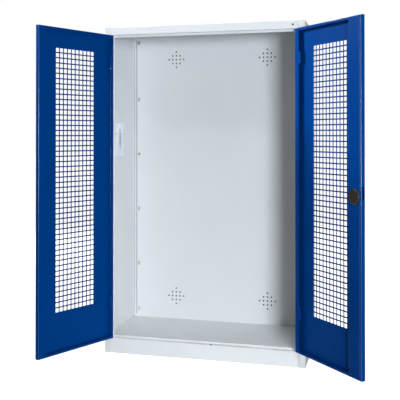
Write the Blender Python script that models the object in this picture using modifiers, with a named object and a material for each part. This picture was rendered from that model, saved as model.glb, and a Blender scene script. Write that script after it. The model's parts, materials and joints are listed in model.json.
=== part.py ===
"""Double-door sports equipment cabinet in folded sheet steel, with perforated doors standing open.

The frame is in metres, +Z up, with the front of the cabinet facing -Y and +X to the right as seen
from the front. The origin is the middle of the flange on which the plinth front stands. Every part is
laid out with the doors closed, and the two door empties then turn their doors to the open pose.
"""
from math import asin, cos, pi, radians, sin, sqrt, tan

import bmesh
import bpy
from mathutils import Matrix, Vector

# Overall size
CABINET_WIDTH = 1.200
CABINET_DEPTH = 0.500
CABINET_HEIGHT = 1.950

# Sheet and clearances
SHEET = 0.001
SEAT_GAP = 0.0003
CUT_OVERRUN = 0.002

# Carcass folds
FRAME_FACE = 0.035
STOP_LIP = 0.014
STOP_RETURN = 0.010
STOP_CLEARANCE = 0.001
REAR_FLANGE = 0.009
FASCIA_HEIGHT = 0.045
FASCIA_STOP_DROP = 0.013
TOP_REAR_FLANGE = 0.020
PLINTH_HEIGHT = 0.089
FOOT_FLANGE = 0.025
PLINTH_REAR_TOP_FLANGE = 0.025
FLOOR_TOP = 0.101
FLOOR_FRONT_FOLD = 0.0115
FASCIA_HOLE_RADIUS = 0.006
FASCIA_HOLE_FROM_CENTRE = 0.532

# Back panel: ventilation holes and shelf slots
VENT_RADIUS = 0.004
VENT_PITCH = 0.025
VENT_RINGS = 2
VENT_FROM_CENTRE = 0.302
VENT_LOW_HEIGHT = 0.250
VENT_TOP_DROP = 0.150
VENT_SIDES = 8
SLOT_WIDTH = 0.009
SLOT_HEIGHT = 0.006
SLOT_FROM_WALL = 0.021
SLOT_LOWEST = 0.125
SLOT_PITCH = 0.150
SLOT_TOP_DROP = 0.012

# Doors
DOOR_DEPTH = 0.025
DOOR_SIDE_GAP = 0.002
DOOR_END_GAP = 0.003
MEETING_GAP = 0.002
LEFT_HINGE_LIP = 0.017
RIGHT_HINGE_LIP = 0.036
LEFT_CLOSING_LIP = 0.047
RIGHT_CLOSING_LIP = 0.010
DOOR_END_LIP = 0.015
LEFT_OPEN_ANGLE = radians(114.0)
RIGHT_OPEN_ANGLE = radians(132.5)

# Perforation of the doors
PERFORATION_COLUMNS = 7
PERFORATION_PITCH = 0.0419
PERFORATION_HOLE = 0.0318
PERFORATION_TOP_MARGIN = 0.109
PERFORATION_BOTTOM_MARGIN = 0.225

# Hinges
HINGE_LENGTH = 0.064
HINGE_PLATE = 0.002
HINGE_WING_BEYOND_LIP = 0.014
HINGE_PIN_CLEARANCE = 0.0003
HINGE_PIN_HEAD_RADIUS = 0.0038
HINGE_PIN_HEAD_HEIGHT = 0.0015
HINGE_NOTCH_CLEARANCE = 0.001
HINGE_NOTCH_END_CLEARANCE = 0.003
HINGE_TOP_DROP = 0.165
HINGE_BOTTOM_RISE = 0.222
HINGE_SIDES = 12

# Lock channel on the right door
CHANNEL_WIDTH = 0.0887
CHANNEL_TURN = 0.007
CHANNEL_FOOT = 0.012
CHANNEL_PORT_RADIUS = 0.018

# Three-point lock: depths are measured back from the front face of the door
BACKSET = 0.052
TONGUE_NEAR_DEPTH = 0.010
TONGUE_THICKNESS = 0.004
TONGUE_HALF_WIDTH = 0.009
TONGUE_REACH = 0.072
TONGUE_SLOT_CLEARANCE = 0.0015
TONGUE_SLOT_WIDTH = 0.009
PINION_NEAR_DEPTH = 0.0145
PINION_THICKNESS = 0.005
PINION_TEETH = 12
ROD_TRAVEL = 0.018
PRESSURE_ANGLE = radians(25.0)
ADDENDUM_SHARE = 0.65
DEDENDUM_SHARE = 0.95
BACKLASH = 0.0005
SPINDLE_SQUARE = 0.008
SPINDLE_CLEARANCE = 0.0003
SPINDLE_FRONT_REACH = 0.0085
SPINDLE_REAR_DEPTH = 0.0230
BUSH_RADIUS = 0.012
BUSH_FLANGE_RADIUS = 0.015
BUSH_FLANGE_THICKNESS = 0.002
BUSH_BORE_RADIUS = 0.0062
BUSH_LENGTH = 0.0084
SHEET_SPINDLE_HOLE_RADIUS = 0.0075
CASE_WALL = 0.002
CASE_LUG_DEPTH = 0.0085
CASE_HALF_WIDTH = 0.024
CASE_LENGTH = 0.060
CASE_BORE_RADIUS = 0.0062

# Lock rods
ROD_RADIUS = 0.004
ROD_DEPTH = 0.012
ROD_SIDES = 8
ROD_HOLE_CLEARANCE = 0.003
ROD_START = 0.080
RACK_THICKNESS = 0.003
RACK_BACK_WIDTH = 0.0075
RACK_TEETH_BEFORE = 1
RACK_TEETH_AFTER = 4
RACK_JOG = 0.074
RACK_JOG_OVERHANG = 0.005
RACK_WELD_END = 0.096
GUIDE_WIDTH = 0.024
GUIDE_HEIGHT = 0.012
GUIDE_DEPTH = 0.0157
GUIDE_FROM_DOOR_END = 0.060
GUIDE_BORE_CLEARANCE = 0.0004

# Lock cover on the inside of the right door
COVER_RADIUS = 0.041
COVER_HEIGHT = 0.008
COVER_WALL = 0.002
COVER_EDGE_HEIGHT = 0.0035
COVER_SHOULDER_SHARE = 0.90

# Turn handle on the outside of the right door
ROSETTE_RADIUS = 0.026
ROSETTE_THICKNESS = 0.004
HANDLE_NECK_RADIUS = 0.008
HANDLE_NECK_CLEARANCE = 0.0004
HANDLE_DISC_RADIUS = 0.023
HANDLE_DISC_THICKNESS = 0.006
HANDLE_GRIP_LENGTH = 0.066
HANDLE_GRIP_WIDTH = 0.020
HANDLE_GRIP_HEIGHT = 0.0105
HANDLE_BEVEL = 0.002
CYLINDER_RADIUS = 0.006
CYLINDER_LENGTH = 0.010
CYLINDER_CLEARANCE = 0.0003
CYLINDER_PROUD = 0.0005
KEYWAY_WIDTH = 0.0016
KEYWAY_HEIGHT = 0.007
KEYWAY_DEPTH = 0.006

# Document pocket on the inside of the left wall
POCKET_FROM_FRONT = 0.152
POCKET_WIDTH = 0.163
POCKET_HEIGHT = 0.150
POCKET_BOTTOM = 1.168
POCKET_DEPTH = 0.004
LEAFLET_WIDTH = 0.148
LEAFLET_HEIGHT = 0.210
LEAFLET_THICKNESS = 0.001

# Facets of the round parts
ROUND_SIDES = 24
SMALL_ROUND_SIDES = 16
GEAR_FLANK_STEPS = 3

# Places worked out from the sizes above
FRONT_Y = -FOOT_FLANGE / 2
BACK_Y = FRONT_Y + CABINET_DEPTH
HALF_WIDTH = CABINET_WIDTH / 2
OPENING_HALF = HALF_WIDTH - FRAME_FACE
STOP_Y = FRONT_Y + DOOR_DEPTH + STOP_CLEARANCE
STOP_HALF = OPENING_HALF - STOP_LIP
CARCASS_TOP = CABINET_HEIGHT - SHEET - SEAT_GAP
FASCIA_BOTTOM = CABINET_HEIGHT - FASCIA_HEIGHT
WALL_INSIDE = HALF_WIDTH - SHEET
FIT_HALF = WALL_INSIDE - SEAT_GAP
BACK_PANEL_REAR_Y = BACK_Y - SHEET - SEAT_GAP
BACK_PANEL_FRONT_Y = BACK_PANEL_REAR_Y - SHEET
SIDE_REAR_Y = BACK_PANEL_FRONT_Y - SEAT_GAP
FLOOR_REAR_Y = SIDE_REAR_Y - SHEET - SEAT_GAP
PLINTH_REAR_TOP = FLOOR_TOP - SHEET - SEAT_GAP
POST_REAR_Y = STOP_Y + STOP_RETURN
VENT_HEIGHTS = (VENT_LOW_HEIGHT, CABINET_HEIGHT - VENT_TOP_DROP)
SLOT_COUNT = 1 + int((CABINET_HEIGHT - SLOT_TOP_DROP - SLOT_LOWEST) / SLOT_PITCH)
DOOR_BOTTOM = PLINTH_HEIGHT + DOOR_END_GAP
DOOR_TOP = FASCIA_BOTTOM - DOOR_END_GAP
DOOR_BACK_Y = FRONT_Y + DOOR_DEPTH
DOOR_HINGE_EDGE = OPENING_HALF - DOOR_SIDE_GAP
DOOR_CLOSING_EDGE = MEETING_GAP / 2
PERFORATION_CENTRE = (DOOR_HINGE_EDGE + DOOR_CLOSING_EDGE) / 2
PERFORATION_TOP = DOOR_TOP - PERFORATION_TOP_MARGIN
PERFORATION_BOTTOM = DOOR_BOTTOM + PERFORATION_BOTTOM_MARGIN
PERFORATION_WEB = PERFORATION_PITCH - PERFORATION_HOLE
PERFORATION_ROWS = int((PERFORATION_TOP - PERFORATION_BOTTOM + PERFORATION_WEB) / PERFORATION_PITCH)
HINGE_AXIS_X = OPENING_HALF - DOOR_SIDE_GAP / 2
KNUCKLE_RADIUS = OPENING_HALF + SHEET + SEAT_GAP + HINGE_PLATE - HINGE_AXIS_X
KNUCKLE_BORE = KNUCKLE_RADIUS - HINGE_PLATE
HINGE_PIN_RADIUS = KNUCKLE_BORE - HINGE_PIN_CLEARANCE
WING_REAR_DEPTH = DOOR_DEPTH - SHEET - SEAT_GAP
HINGE_PLATE_DEPTH = WING_REAR_DEPTH - HINGE_PLATE / 2
HINGE_HEIGHTS = {"upper": DOOR_TOP - HINGE_TOP_DROP, "lower": DOOR_BOTTOM + HINGE_BOTTOM_RISE}
LOCK_X = DOOR_CLOSING_EDGE + BACKSET
LOCK_Z = (DOOR_BOTTOM + DOOR_TOP) / 2
ROD_Y = FRONT_Y + ROD_DEPTH
PITCH_RADIUS = ROD_TRAVEL / (pi / 2)
MODULE = 2 * PITCH_RADIUS / PINION_TEETH
ADDENDUM = ADDENDUM_SHARE * MODULE
DEDENDUM = DEDENDUM_SHARE * MODULE
TOOTH_PITCH = pi * MODULE
RACK_DEPTH = PINION_NEAR_DEPTH + (PINION_THICKNESS - RACK_THICKNESS) / 2
HANDLE_FACE_Y = FRONT_Y - SEAT_GAP - ROSETTE_THICKNESS
SPINDLE_HOLE = SPINDLE_SQUARE + 2 * SPINDLE_CLEARANCE
GRIP_FRONT_DEPTH = SEAT_GAP + ROSETTE_THICKNESS + SEAT_GAP + HANDLE_DISC_THICKNESS + HANDLE_GRIP_HEIGHT
TOWARDS_FRONT = (pi / 2, 0.0, 0.0)
TOWARDS_BACK = (-pi / 2, 0.0, 0.0)
LEFT, RIGHT = -1, 1


def clear_scene():
    for item in list(bpy.data.objects):
        bpy.data.objects.remove(item, do_unlink=True)
    for group in list(bpy.data.collections):
        bpy.data.collections.remove(group)


def new_collection(name):
    group = bpy.data.collections.new(name)
    bpy.context.scene.collection.children.link(group)
    return group


def finish(name, color, roughness, metallic):
    """One Principled material."""
    material = bpy.data.materials.new(name)
    material.use_nodes = True
    shader = material.node_tree.nodes["Principled BSDF"]
    shader.inputs["Base Color"].default_value = (*color, 1.0)
    shader.inputs["Roughness"].default_value = roughness
    shader.inputs["Metallic"].default_value = metallic
    return material


clear_scene()
PARTS = new_collection("sports_equipment_cabinet")
CUTTERS = new_collection("cutters")


# Finishes, by the name that the parts below use
def carcass_grey(part):
    return finish(part + "_grey", (0.62, 0.64, 0.65), 0.42, 0.0)


def door_blue(part):
    return finish(part + "_blue", (0.01, 0.06, 0.27), 0.38, 0.0)


def zinc_steel(part):
    return finish(part + "_zinc", (0.60, 0.61, 0.62), 0.35, 1.0)


def black_plastic(part):
    return finish(part + "_black", (0.015, 0.014, 0.013), 0.45, 0.0)


def clear_film(part):
    return finish(part + "_film", (0.80, 0.82, 0.84), 0.25, 0.0)


def white_paper(part):
    return finish(part + "_paper", (0.85, 0.85, 0.84), 0.80, 0.0)


# Building helpers
def add_part(name, mesh, paint):
    part = bpy.data.objects.new(name, mesh)
    PARTS.objects.link(part)
    part.data.materials.clear()
    part.data.materials.append(paint(name))
    return part


def add_cutter(name, mesh):
    cutter = bpy.data.objects.new(name, mesh)
    CUTTERS.objects.link(cutter)
    cutter.hide_render = True
    cutter.display_type = "WIRE"
    return cutter


def combine(part, other, operation):
    """Cut the other shape out of the part, or join it on, with an exact Boolean."""
    modifier = part.modifiers.new(operation.lower() + "_" + other.name, "BOOLEAN")
    modifier.operation = operation
    modifier.solver = "EXACT"
    modifier.object = other


def box_mesh(name, low, high):
    """A box between two corners, in world coordinates."""
    low = Vector(low)
    high = Vector(high)
    mesh = bpy.data.meshes.new(name)
    work = bmesh.new()
    bmesh.ops.create_cube(work, size=1.0)
    bmesh.ops.scale(work, vec=high - low, verts=work.verts)
    bmesh.ops.translate(work, vec=(low + high) / 2, verts=work.verts)
    work.to_mesh(mesh)
    work.free()
    return mesh


def folded_strip(name, path, plane, start, stop, grow):
    """A bent sheet: an open path, drawn out along the axis square to its plane and given the sheet's
    thickness on the side of the path that grow names, seen as the path runs."""
    along = Vector((0, 0, 1)) if plane == "XY" else Vector((1, 0, 0))
    mesh = bpy.data.meshes.new(name)
    work = bmesh.new()
    corners = []
    for first, second in path:
        place = Vector((first, second, start)) if plane == "XY" else Vector((start, first, second))
        corners.append(work.verts.new(place))
    edges = [work.edges.new(pair) for pair in zip(corners, corners[1:])]
    grown = bmesh.ops.extrude_edge_only(work, edges=edges)["geom"]
    moved = [item for item in grown if isinstance(item, bmesh.types.BMVert)]
    bmesh.ops.translate(work, vec=along * (stop - start), verts=moved)
    work.normal_update()
    work.faces.ensure_lookup_table()
    travel = corners[1].co - corners[0].co
    facing = next(face for face in work.faces if corners[0] in face.verts)
    if facing.normal.dot(travel.cross(along)) < 0:
        bmesh.ops.reverse_faces(work, faces=work.faces[:])
    work.to_mesh(mesh)
    work.free()
    return mesh, 1.0 if grow == "right" else -1.0


def thicken(part, thickness, offset):
    shell = part.modifiers.new("sheet", "SOLIDIFY")
    shell.thickness = thickness
    shell.offset = offset
    shell.use_even_offset = True


def sheet_part(name, path, plane, start, stop, grow, paint, thickness=SHEET):
    mesh, offset = folded_strip(name, path, plane, start, stop, grow)
    part = add_part(name, mesh, paint)
    thicken(part, thickness, offset)
    return part


def sheet_cutter(name, path, plane, start, stop, grow):
    mesh, offset = folded_strip(name, path, plane, start, stop, grow)
    cutter = add_cutter(name, mesh)
    thicken(cutter, SHEET, offset)
    return cutter


def turned_mesh(name, profile, sides, closed=False):
    """A turned solid about Z from radius and height pairs, which run down its outer side."""
    curve_mesh = bpy.data.meshes.new(name + "_profile")
    edges = [(index, index + 1) for index in range(len(profile) - 1)]
    if closed:
        edges.append((len(profile) - 1, 0))
    curve_mesh.from_pydata([(radius, 0.0, height) for radius, height in profile], edges, [])
    lathe = bpy.data.objects.new(name + "_profile", curve_mesh)
    CUTTERS.objects.link(lathe)
    screw = lathe.modifiers.new("turn", "SCREW")
    screw.steps = sides
    screw.render_steps = sides
    screw.use_merge_vertices = True
    screw.merge_threshold = 0.00001
    bpy.context.view_layer.update()
    mesh = bpy.data.meshes.new_from_object(lathe.evaluated_get(bpy.context.evaluated_depsgraph_get()))
    bpy.data.objects.remove(lathe, do_unlink=True)
    mesh.name = name
    return mesh


def turned_part(name, profile, sides, place, rotation, paint, closed=False):
    mesh = turned_mesh(name, profile, sides, closed)
    mesh.shade_smooth()
    mesh.set_sharp_from_angle(angle=radians(35.0))
    part = add_part(name, mesh, paint)
    part.location = place
    part.rotation_euler = rotation
    return part


def rod_profile(radius, bottom, top):
    return [(0.0, top), (radius, top), (radius, bottom), (0.0, bottom)]


def ring_profile(outer, inner, bottom, top):
    return [(outer, top), (outer, bottom), (inner, bottom), (inner, top)]


def flat_mesh(name, outlines, thickness):
    """A flat blank in the XY plane, centred on it; outlines after the first are its holes."""
    drawing = bpy.data.curves.new(name, "CURVE")
    drawing.dimensions = "2D"
    drawing.fill_mode = "BOTH"
    drawing.extrude = thickness / 2
    for outline in outlines:
        spline = drawing.splines.new("POLY")
        spline.points.add(len(outline) - 1)
        for point, (first, second) in zip(spline.points, outline):
            point.co = (first, second, 0.0, 1.0)
        spline.use_cyclic_u = True
    holder = bpy.data.objects.new(name, drawing)
    CUTTERS.objects.link(holder)
    bpy.context.view_layer.update()
    mesh = bpy.data.meshes.new_from_object(holder.evaluated_get(bpy.context.evaluated_depsgraph_get()))
    bpy.data.objects.remove(holder, do_unlink=True)
    work = bmesh.new()
    work.from_mesh(mesh)
    bmesh.ops.remove_doubles(work, verts=work.verts, dist=0.00001)
    bmesh.ops.recalc_face_normals(work, faces=work.faces)
    work.to_mesh(mesh)
    work.free()
    mesh.name = name
    return mesh


def upright_blank(name, outlines, near_depth, thickness, paint):
    """A flat blank square to Y about the lock's axis; its outline is in X and Z."""
    part = add_part(name, flat_mesh(name, outlines, thickness), paint)
    part.location = (LOCK_X, FRONT_Y + near_depth + thickness / 2, LOCK_Z)
    part.rotation_euler = TOWARDS_FRONT
    return part


def arc(centre, radius, start, stop, steps):
    points = []
    for step in range(steps + 1):
        angle = start + (stop - start) * step / steps
        points.append((centre[0] + radius * cos(angle), centre[1] + radius * sin(angle)))
    return points


def square_outline(side):
    half = side / 2
    return [(-half, -half), (half, -half), (half, half), (-half, half)]


def circle_outline(centre, radius, sides):
    return arc(centre, radius, 0.0, 2 * pi * (sides - 1) / sides, sides - 1)


def hang_on(pivot, items):
    """Parent the items to the pivot without moving them."""
    bpy.context.view_layer.update()
    for item in items:
        item.parent = pivot
        item.matrix_parent_inverse = pivot.matrix_world.inverted()


# Carcass
def hinge_notch(side, level, reach_from, reach_to, owner):
    """The cut at the front corner of a post or a door, where the hinge's knuckle lies."""
    half = HINGE_LENGTH / 2 + HINGE_NOTCH_END_CLEARANCE
    inner, outer = sorted((side * reach_from, side * reach_to))
    height = HINGE_HEIGHTS[level]
    low = (inner, FRONT_Y - CUT_OVERRUN, height - half)
    high = (outer, FRONT_Y + KNUCKLE_RADIUS + HINGE_NOTCH_CLEARANCE, height + half)
    return add_cutter("notch_" + owner + "_" + level, box_mesh(owner, low, high))


def side_panel(side, name):
    """One folded sheet: rear flange, wall, front face, reveal beside the door, stop lip."""
    wall = side * HALF_WIDTH
    reveal = side * OPENING_HALF
    stop = side * STOP_HALF
    path = [
        (wall - side * REAR_FLANGE, SIDE_REAR_Y),
        (wall, SIDE_REAR_Y),
        (wall, FRONT_Y),
        (reveal, FRONT_Y),
        (reveal, STOP_Y),
        (stop, STOP_Y),
        (stop, POST_REAR_Y),
    ]
    grow = "left" if side == LEFT else "right"
    panel = sheet_part(name, path, "XY", 0.0, CARCASS_TOP, grow, carcass_grey)
    far = HINGE_AXIS_X + KNUCKLE_RADIUS + HINGE_NOTCH_CLEARANCE
    for level in HINGE_HEIGHTS:
        notch = hinge_notch(side, level, OPENING_HALF - CUT_OVERRUN, far, name)
        combine(panel, notch, "DIFFERENCE")
    return panel


def back_panel():
    low = (-HALF_WIDTH, BACK_PANEL_FRONT_Y, PLINTH_REAR_TOP + SEAT_GAP)
    high = (HALF_WIDTH, BACK_PANEL_REAR_Y, CARCASS_TOP)
    panel = add_part("back_panel", box_mesh("back_panel", low, high), carcass_grey)
    combine(panel, vent_cutter(), "DIFFERENCE")
    for side, word in ((LEFT, "left"), (RIGHT, "right")):
        combine(panel, slot_cutter(side, word), "DIFFERENCE")
    return panel


def vent_cutter():
    """Four diamonds of round holes, 1, 3, 5, 3 and 1 across."""
    mesh = bpy.data.meshes.new("vents")
    work = bmesh.new()
    depth = SHEET + 2 * CUT_OVERRUN
    middle = (BACK_PANEL_FRONT_Y + BACK_PANEL_REAR_Y) / 2
    for side in (LEFT, RIGHT):
        for height in VENT_HEIGHTS:
            for row in range(-VENT_RINGS, VENT_RINGS + 1):
                reach = VENT_RINGS - abs(row)
                for column in range(-reach, reach + 1):
                    place = Vector((side * VENT_FROM_CENTRE + column * VENT_PITCH, middle,
                                    height + row * VENT_PITCH))
                    bmesh.ops.create_cone(work, cap_ends=True, segments=VENT_SIDES, radius1=VENT_RADIUS,
                                          radius2=VENT_RADIUS, depth=depth,
                                          matrix=Matrix.Translation(place) @ Matrix.Rotation(pi / 2, 4, "X"))
    work.to_mesh(mesh)
    work.free()
    return add_cutter("vents", mesh)


def slot_cutter(side, word):
    """A column of slots beside the wall, in which the shelf clips hook."""
    centre = side * (WALL_INSIDE - SLOT_FROM_WALL)
    low = (centre - SLOT_WIDTH / 2, BACK_PANEL_FRONT_Y - CUT_OVERRUN, SLOT_LOWEST - SLOT_HEIGHT / 2)
    high = (centre + SLOT_WIDTH / 2, BACK_PANEL_REAR_Y + CUT_OVERRUN, SLOT_LOWEST + SLOT_HEIGHT / 2)
    cutter = add_cutter("slots_" + word, box_mesh("slots_" + word, low, high))
    repeat_along(cutter, SLOT_COUNT, (0.0, 0.0, SLOT_PITCH))
    return cutter


def repeat_along(item, count, step):
    array = item.modifiers.new("repeat", "ARRAY")
    array.count = count
    array.use_relative_offset = False
    array.use_constant_offset = True
    array.constant_offset_displace = step


def top_panel():
    """The top sheet with its fascia, the lip that the doors stop on and a rear flange."""
    fascia = [
        (BACK_Y, CABINET_HEIGHT - TOP_REAR_FLANGE),
        (BACK_Y, CABINET_HEIGHT),
        (FRONT_Y, CABINET_HEIGHT),
        (FRONT_Y, FASCIA_BOTTOM),
        (STOP_Y - SEAT_GAP, FASCIA_BOTTOM),
    ]
    half = OPENING_HALF - SEAT_GAP
    panel = sheet_part("top_panel", fascia, "YZ", -half, half, "left", carcass_grey)
    cover = box_mesh("top_cover", (-HALF_WIDTH, FRONT_Y, CABINET_HEIGHT - SHEET),
                     (HALF_WIDTH, BACK_Y, CABINET_HEIGHT))
    combine(panel, add_cutter("top_cover", cover), "UNION")
    stop_half = STOP_HALF - SEAT_GAP
    lip = [
        ((FRONT_Y + STOP_Y) / 2, FASCIA_BOTTOM),
        (STOP_Y, FASCIA_BOTTOM),
        (STOP_Y, FASCIA_BOTTOM - FASCIA_STOP_DROP),
        (POST_REAR_Y, FASCIA_BOTTOM - FASCIA_STOP_DROP),
    ]
    stop = sheet_cutter("top_stop", lip, "YZ", -stop_half, stop_half, "left")
    combine(panel, stop, "UNION")
    combine(panel, rod_hole("rod_hole_top", FASCIA_BOTTOM), "DIFFERENCE")
    hole = add_cutter("fascia_hole", turned_mesh("fascia_hole", rod_profile(
        FASCIA_HOLE_RADIUS, -CUT_OVERRUN, CUT_OVERRUN), SMALL_ROUND_SIDES))
    hole.location = (FASCIA_HOLE_FROM_CENTRE, FRONT_Y, CABINET_HEIGHT - FASCIA_HEIGHT / 2)
    hole.rotation_euler = TOWARDS_FRONT
    combine(panel, hole, "DIFFERENCE")
    return panel


def rod_hole(name, height):
    """The hole that a lock rod shoots into when the door is closed."""
    radius = ROD_RADIUS + ROD_HOLE_CLEARANCE
    profile = rod_profile(radius, -CUT_OVERRUN, CUT_OVERRUN)
    hole = add_cutter(name, turned_mesh(name, profile, SMALL_ROUND_SIDES))
    hole.location = (LOCK_X, ROD_Y, height)
    return hole


def floor_panel():
    """The floor sheet, folded down at the front between the stop lips and lying on the rear plinth."""
    tray = [
        (FLOOR_REAR_Y, FLOOR_TOP),
        (STOP_Y, FLOOR_TOP),
        (STOP_Y, FLOOR_TOP - FLOOR_FRONT_FOLD),
    ]
    half = STOP_HALF - SEAT_GAP
    panel = sheet_part("floor_panel", tray, "YZ", -half, half, "left", carcass_grey)
    sheet = box_mesh("floor_sheet", (-FIT_HALF, POST_REAR_Y + SEAT_GAP, FLOOR_TOP - SHEET),
                     (FIT_HALF, FLOOR_REAR_Y, FLOOR_TOP))
    combine(panel, add_cutter("floor_sheet", sheet), "UNION")
    return panel


def plinth_front():
    path = [
        (STOP_Y - SEAT_GAP, PLINTH_HEIGHT),
        (FRONT_Y, PLINTH_HEIGHT),
        (FRONT_Y, 0.0),
        (FRONT_Y + FOOT_FLANGE, 0.0),
    ]
    half = OPENING_HALF - SEAT_GAP
    plinth = sheet_part("plinth_front", path, "YZ", -half, half, "left", carcass_grey)
    combine(plinth, rod_hole("rod_hole_bottom", PLINTH_HEIGHT), "DIFFERENCE")
    return plinth


def plinth_rear():
    rear = BACK_PANEL_REAR_Y
    path = [
        (rear - PLINTH_REAR_TOP_FLANGE, PLINTH_REAR_TOP),
        (rear, PLINTH_REAR_TOP),
        (rear, 0.0),
        (rear - FOOT_FLANGE, 0.0),
    ]
    half = HALF_WIDTH - REAR_FLANGE - SEAT_GAP
    return sheet_part("plinth_rear", path, "YZ", -half, half, "right", carcass_grey)


def carcass():
    side_panel(LEFT, "side_panel_left")
    side_panel(RIGHT, "side_panel_right")
    back_panel()
    top_panel()
    floor_panel()
    plinth_front()
    plinth_rear()


# Hinges: a rolled leaf behind the post, a rolled leaf inside the door and a pin through both
def hinge_leaf(name, side, away, level, knuckle_half, paint):
    """A leaf whose plate lies away from the pin on one side, rolled round the pin for half its height.

    away is +1 for the leaf behind the post and -1 for the leaf inside the door, counted outwards."""
    half = HINGE_LENGTH / 2
    part_line = SEAT_GAP / 2
    clear = KNUCKLE_RADIUS + HINGE_NOTCH_CLEARANCE / 2
    foot = knuckle_half * half
    crown = knuckle_half * part_line
    outline = [
        (0.0, crown),
        (clear, crown),
        (clear, -foot),
        (HINGE_PLATE_DEPTH, -foot),
        (HINGE_PLATE_DEPTH, foot),
        (0.0, foot),
    ]
    leaf = add_part(name, flat_mesh(name, [outline], HINGE_PLATE), paint)
    plate_x = side * (HINGE_AXIS_X + away * (KNUCKLE_RADIUS - HINGE_PLATE / 2))
    leaf.location = (plate_x, FRONT_Y, HINGE_HEIGHTS[level])
    leaf.rotation_euler = (pi / 2, 0.0, pi / 2)
    bottom, top = sorted((crown, foot))
    profile = ring_profile(KNUCKLE_RADIUS, KNUCKLE_BORE, bottom, top)
    knuckle = add_cutter(name + "_knuckle", turned_mesh(name + "_knuckle", profile, HINGE_SIDES, closed=True))
    knuckle.location = (side * HINGE_AXIS_X, FRONT_Y, HINGE_HEIGHTS[level])
    combine(leaf, knuckle, "UNION")
    return [leaf, knuckle]


def hinge_lip(side):
    return LEFT_HINGE_LIP if side == LEFT else RIGHT_HINGE_LIP


def hinge_wing(leaf, side, level):
    """The second leg of a door leaf, which lies behind the door's lip and shows in its notch."""
    outer = side * (HINGE_AXIS_X - KNUCKLE_BORE - HINGE_PLATE / 2)
    inner = side * (DOOR_HINGE_EDGE - hinge_lip(side) - HINGE_WING_BEYOND_LIP)
    near, far = sorted((inner, outer))
    height = HINGE_HEIGHTS[level]
    half = HINGE_LENGTH / 2 - SEAT_GAP
    low = (near, FRONT_Y + WING_REAR_DEPTH - HINGE_PLATE, height - half)
    high = (far, FRONT_Y + WING_REAR_DEPTH, height + half)
    wing = add_cutter(leaf.name + "_wing", box_mesh(leaf.name + "_wing", low, high))
    combine(leaf, wing, "UNION")
    return wing


def lip_notch(side, level, owner):
    """The cut in a door's hinge lip that bares the wing of the hinge."""
    half = HINGE_LENGTH / 2 + HINGE_NOTCH_CLEARANCE
    inner = side * (DOOR_HINGE_EDGE - hinge_lip(side) - CUT_OVERRUN)
    outer = side * (DOOR_HINGE_EDGE + CUT_OVERRUN)
    near, far = sorted((inner, outer))
    height = HINGE_HEIGHTS[level]
    low = (near, FRONT_Y + DOOR_DEPTH - SHEET - SEAT_GAP / 2, height - half)
    high = (far, FRONT_Y + DOOR_DEPTH + CUT_OVERRUN, height + half)
    return add_cutter("lip_notch_" + owner + "_" + level, box_mesh(owner + "_lip_" + level, low, high))


def hinge_pin(name, side, level):
    half = HINGE_LENGTH / 2
    seat = half + SEAT_GAP
    profile = [
        (0.0, seat + HINGE_PIN_HEAD_HEIGHT),
        (HINGE_PIN_HEAD_RADIUS, seat + HINGE_PIN_HEAD_HEIGHT),
        (HINGE_PIN_HEAD_RADIUS, seat),
        (HINGE_PIN_RADIUS, seat),
        (HINGE_PIN_RADIUS, -half),
        (0.0, -half),
    ]
    place = (side * HINGE_AXIS_X, FRONT_Y, HINGE_HEIGHTS[level])
    return turned_part(name, profile, HINGE_SIDES, place, (0.0, 0.0, 0.0), zinc_steel)


def hinges(side, word):
    """Both hinges of one door; returns what swings with the door."""
    swinging = []
    for level in HINGE_HEIGHTS:
        base = "hinge_" + word + "_" + level
        hinge_leaf(base + "_frame_leaf", side, 1, level, LOWER_HALF, carcass_grey)
        hinge_pin(base + "_pin", side, level)
        leaf, knuckle = hinge_leaf(base + "_door_leaf", side, -1, level, UPPER_HALF, door_blue)
        swinging += [leaf, knuckle, hinge_wing(leaf, side, level)]
    return swinging


LOWER_HALF, UPPER_HALF = -1, 1


# Doors
def door_pan(name, side, closing_lip):
    """A shallow pan open to the back: front sheet, four returns and four lips."""
    near, far = sorted((side * DOOR_CLOSING_EDGE, side * DOOR_HINGE_EDGE))
    mesh = box_mesh(name, (near, FRONT_Y, DOOR_BOTTOM), (far, DOOR_BACK_Y, DOOR_TOP))
    work = bmesh.new()
    work.from_mesh(mesh)
    back = max(work.faces, key=lambda face: face.normal.y)
    bmesh.ops.inset_region(work, faces=[back], thickness=DOOR_END_LIP, use_even_offset=True)
    for corner in back.verts:
        at_closing_edge = abs(corner.co.x) < PERFORATION_CENTRE
        across = DOOR_CLOSING_EDGE + closing_lip if at_closing_edge else DOOR_HINGE_EDGE - hinge_lip(side)
        corner.co.x = side * across
    bmesh.ops.delete(work, geom=[back], context="FACES_ONLY")
    work.to_mesh(mesh)
    work.free()
    pan = add_part(name, mesh, door_blue)
    thicken(pan, SHEET, -1.0)
    return pan


def perforation(side, word):
    """A grid of square holes, made from one square repeated in columns and rows."""
    width = (PERFORATION_COLUMNS - 1) * PERFORATION_PITCH
    height = (PERFORATION_ROWS - 1) * PERFORATION_PITCH
    first_x = side * PERFORATION_CENTRE - width / 2
    first_z = (PERFORATION_TOP + PERFORATION_BOTTOM - height) / 2
    half = PERFORATION_HOLE / 2
    low = (first_x - half, FRONT_Y - CUT_OVERRUN, first_z - half)
    high = (first_x + half, FRONT_Y + SHEET + CUT_OVERRUN, first_z + half)
    cutter = add_cutter("perforation_" + word, box_mesh("perforation_" + word, low, high))
    repeat_along(cutter, PERFORATION_COLUMNS, (PERFORATION_PITCH, 0.0, 0.0))
    repeat_along(cutter, PERFORATION_ROWS, (0.0, 0.0, PERFORATION_PITCH))
    return cutter


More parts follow.
